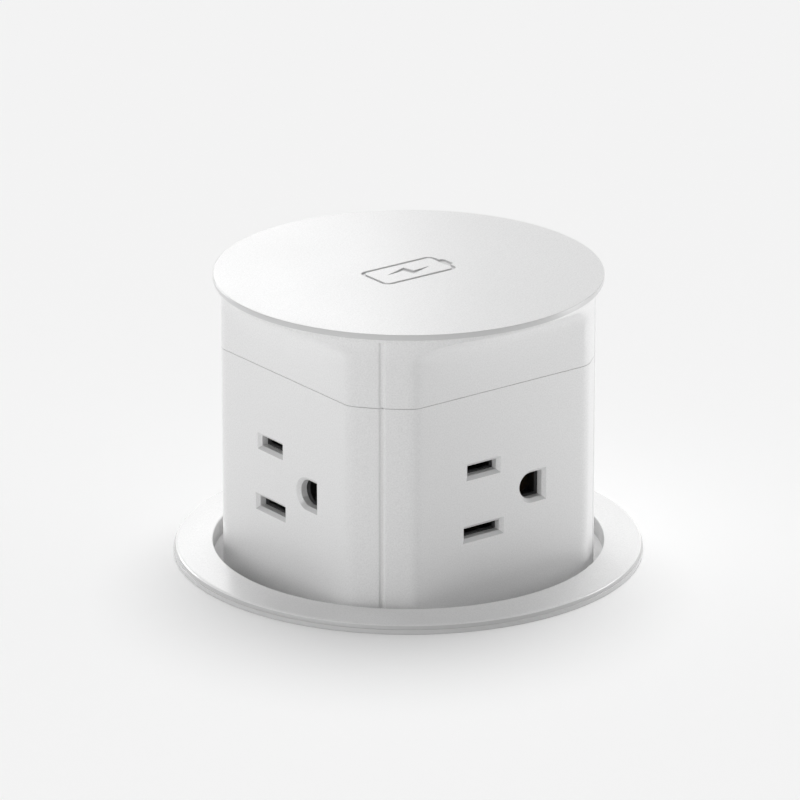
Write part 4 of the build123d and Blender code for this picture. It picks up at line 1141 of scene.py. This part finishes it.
class MakeClamp(bpy.types.Operator):
    """Make the clamp washer and the ring nut under the desk"""

    bl_idname = "desk_socket.clamp"
    bl_label = "Washer and nut"

    def execute(self, context):
        sizes = context.scene.socket_desk
        self.make_washer(sizes)
        self.make_nut(sizes)
        return {"FINISHED"}

    def make_washer(self, sizes):
        """A flat ring with round edges and three shallow grooves in its upper face."""
        low, (outer, _, high) = low_corner("clamp_washer")[2], high_corner("clamp_washer")
        inner, soft, softer = sizes.barrel_radius + sizes.clamp_gap, 0.2 * MM, 0.5 * MM
        mouth, floor, depth = 0.5 * MM, 0.3 * MM, 0.35 * MM
        corners = [(inner, low, soft), (outer, low, softer), (outer, high, softer)]
        for middle in (49 * MM, 47 * MM, 45 * MM):
            corners += [
                (middle + mouth, high, 0), (middle + floor, high - depth, 0),
                (middle - floor, high - depth, 0), (middle - mouth, high, 0),
            ]
        washer = revolved("washer_ring", [*corners, (inner, high, soft)])
        dress(washer, "clamp_washer", ["clamp_washer"], "casing_white")

    def make_nut(self, sizes):
        """The nut over a grid of angle and profile: its outer radius dips in a scallop at each grip.

        A scallop is the near side of a circle whose middle lies outside the nut. It fades out towards
        the nut's hole.
        """
        low, high = span("ring_nut")
        outer, inner = sizes.nut_radius, sizes.barrel_radius + sizes.clamp_gap
        soft, scallop, plain = 0.8 * MM, 5 * MM, inner + 2 * MM
        profile = rounded_profile([
            (inner, low, 0.3 * MM), (outer, low, soft), (outer, high, soft), (inner, high, 0.3 * MM),
        ])
        angle = np.linspace(0, FULL_TURN, 480, endpoint=False)
        step = FULL_TURN / sizes.grips
        near = np.abs(angle - np.round(angle / step) * step)
        away = outer + scallop - sizes.grip_depth
        reach = scallop**2 - (away * np.sin(near)) ** 2
        dip = np.where(reach > 0, outer - (away * np.cos(near) - np.sqrt(np.maximum(reach, 0))), 0)
        outside = np.clip((profile[:, :1] - plain) / (outer - soft - plain), 0, 1)
        radius = profile[:, :1] - np.clip(dip, 0, sizes.grip_depth) * outside
        nut = swept("grip_nut", radius, profile[:, 1:], angle)
        dress(nut, "ring_nut", ["ring_nut"], "casing_white")


class MakeSpring(bpy.types.Operator):
    """Make the lift spring as one fixed coil; the real spring flattens as the tower goes down"""

    bl_idname = "desk_socket.spring"
    bl_label = "Lift spring"

    def execute(self, context):
        sizes = context.scene.socket_desk
        low, high = span("lift_spring")
        spring = self.coil(sizes, low, high)
        dress(spring, "casing", ["lift_spring"], "spring_steel")
        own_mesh(spring)
        return {"FINISHED"}

    def coil(self, sizes, low, high):
        """A round wire carried along a helix whose turns lie closed at both ends."""
        wire, turns, closed = sizes.spring_wire / 2, sizes.spring_turns, 2.2 * MM
        turn = np.linspace(0, turns, turns * 48 + 1)
        steady = high - low - 2 * wire - 2 * closed
        height = np.interp(turn, [0, 1, turns - 1, turns], np.cumsum([0, closed, steady, closed]))
        up = np.array([0, 0, 1])
        out = np.insert(on_circle(turn * FULL_TURN), 2, 0, axis=1)
        centre = out * sizes.spring_radius + up * (low + wire + height)[:, None]
        around = np.linspace(0, FULL_TURN, 16, endpoint=False)[None, :, None]
        section = out[:, None, :] * np.cos(around) + up * np.sin(around)
        return weld(lofted("coil_spring", centre[:, None, :] + wire * section), outwards=True)


CAD_FINISHES = {
    "frame_white": ["tower_core", "tower_base"],
    "black_plastic": [
        "socket_face_front", "socket_face_left", "socket_face_right",
        "socket_block_front", "socket_block_left", "socket_block_right",
        "usb_a_tongues", "usb_c_tongue",
    ],
    "black_nylon": ["damper_housing", "gland_nut"],
    "zinc_plate": ["base_screws", "face_screws_front", "face_screws_left", "face_screws_right"],
    "pressed_steel": [
        "latch_housing", "latch_jaw_left", "latch_jaw_right", "strike", "usb_a_shells", "usb_c_shell",
    ],
    "spring_steel": ["latch_pins"],
    "pressed_brass": [
        "line_busbar", "neutral_busbar", "ground_busbar",
        "contacts_front", "contacts_left", "contacts_right",
    ],
    "coil_wire": ["charging_coil"],
    "circuit_board": ["usb_board", "charger_board"],
    "ferrite": ["ferrite_disc"],
    "natural_acetal": ["damper_pinion", "damper_rack"],
}


class FinishCadParts(bpy.types.Operator):
    """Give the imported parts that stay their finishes"""

    bl_idname = "desk_socket.cad_finishes"
    bl_label = "Inner parts' finishes"

    def execute(self, context):
        for name, nodes in CAD_FINISHES.items():
            for node in nodes:
                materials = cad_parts[node].data.materials
                materials.clear()
                materials.append(finish(name))
        return {"FINISHED"}


class MakeContactStrips(bpy.types.Operator):
    """Make the gold contact strips on the USB tongues"""

    bl_idname = "desk_socket.contact_strips"
    bl_label = "Contact strips"

    def execute(self, context):
        low, (_, end, high) = low_corner("usb_a_tongues")[2], high_corner("usb_a_tongues")
        thick = 1.8 * MM
        sides = (-3.5 * MM, -1.0 * MM, 1.0 * MM, 3.5 * MM)
        strips = [self.strip(side, end, under) for under in (low, high - thick) for side in sides]
        dress(join(strips, "usb_contact_strips"), "tower", [], "pressed_brass")
        return {"FINISHED"}

    def strip(self, side, end, under):
        """A thin rounded strip under a tongue."""
        width, thickness, corner = 1.0 * MM, 0.3 * MM, 0.12 * MM
        back, front = end - 8 * MM, end - 0.8 * MM
        profile = round_box_outline(side, under, width, thickness, corner, 4)
        rows = [np.insert(profile, 1, y, axis=1) for y in (back, front)]
        return weld(lofted("strip", rows), outwards=True)


class SocketPanel(bpy.types.Panel):
    """Lists the pieces that the add-on makes"""

    bl_idname = "VIEW3D_PT_desk_socket"
    bl_label = "Desk socket"
    bl_space_type = "VIEW_3D"
    bl_region_type = "UI"
    bl_category = "Desk socket"

    def draw(self, context):
        for maker in MAKERS:
            self.layout.operator(maker.bl_idname)


GROUPS = {
    "socket_lid": LidSizes,
    "socket_tower": TowerSizes,
    "socket_outlets": OutletSizes,
    "socket_desk": DeskSizes,
    "socket_finishes": Finishes,
    "socket_stage": StageSettings,
}
MAKERS = [
    MakeStage, MakeLid, MakeCollar, MakePanels, MakeFlange, MakeCasing, MakeClamp, MakeSpring,
    MakeContactStrips, FinishCadParts,
]


def register():
    """Registers the sizes, the operators and the panel."""
    for name, group in GROUPS.items():
        bpy.utils.register_class(group)
        setattr(bpy.types.Scene, name, PointerProperty(type=group))
    for maker in MAKERS:
        bpy.utils.register_class(maker)
    bpy.utils.register_class(SocketPanel)


def unregister():
    """Takes back what register did."""
    bpy.utils.unregister_class(SocketPanel)
    for maker in reversed(MAKERS):
        bpy.utils.unregister_class(maker)
    for name, group in reversed(GROUPS.items()):
        delattr(bpy.types.Scene, name)
        bpy.utils.unregister_class(group)


def main():
    """Registers the add-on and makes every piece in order."""
    register()
    for maker in MAKERS:
        group, call = maker.bl_idname.split(".")
        getattr(getattr(bpy.ops, group), call)()


if __name__ == "__main__":
    main()
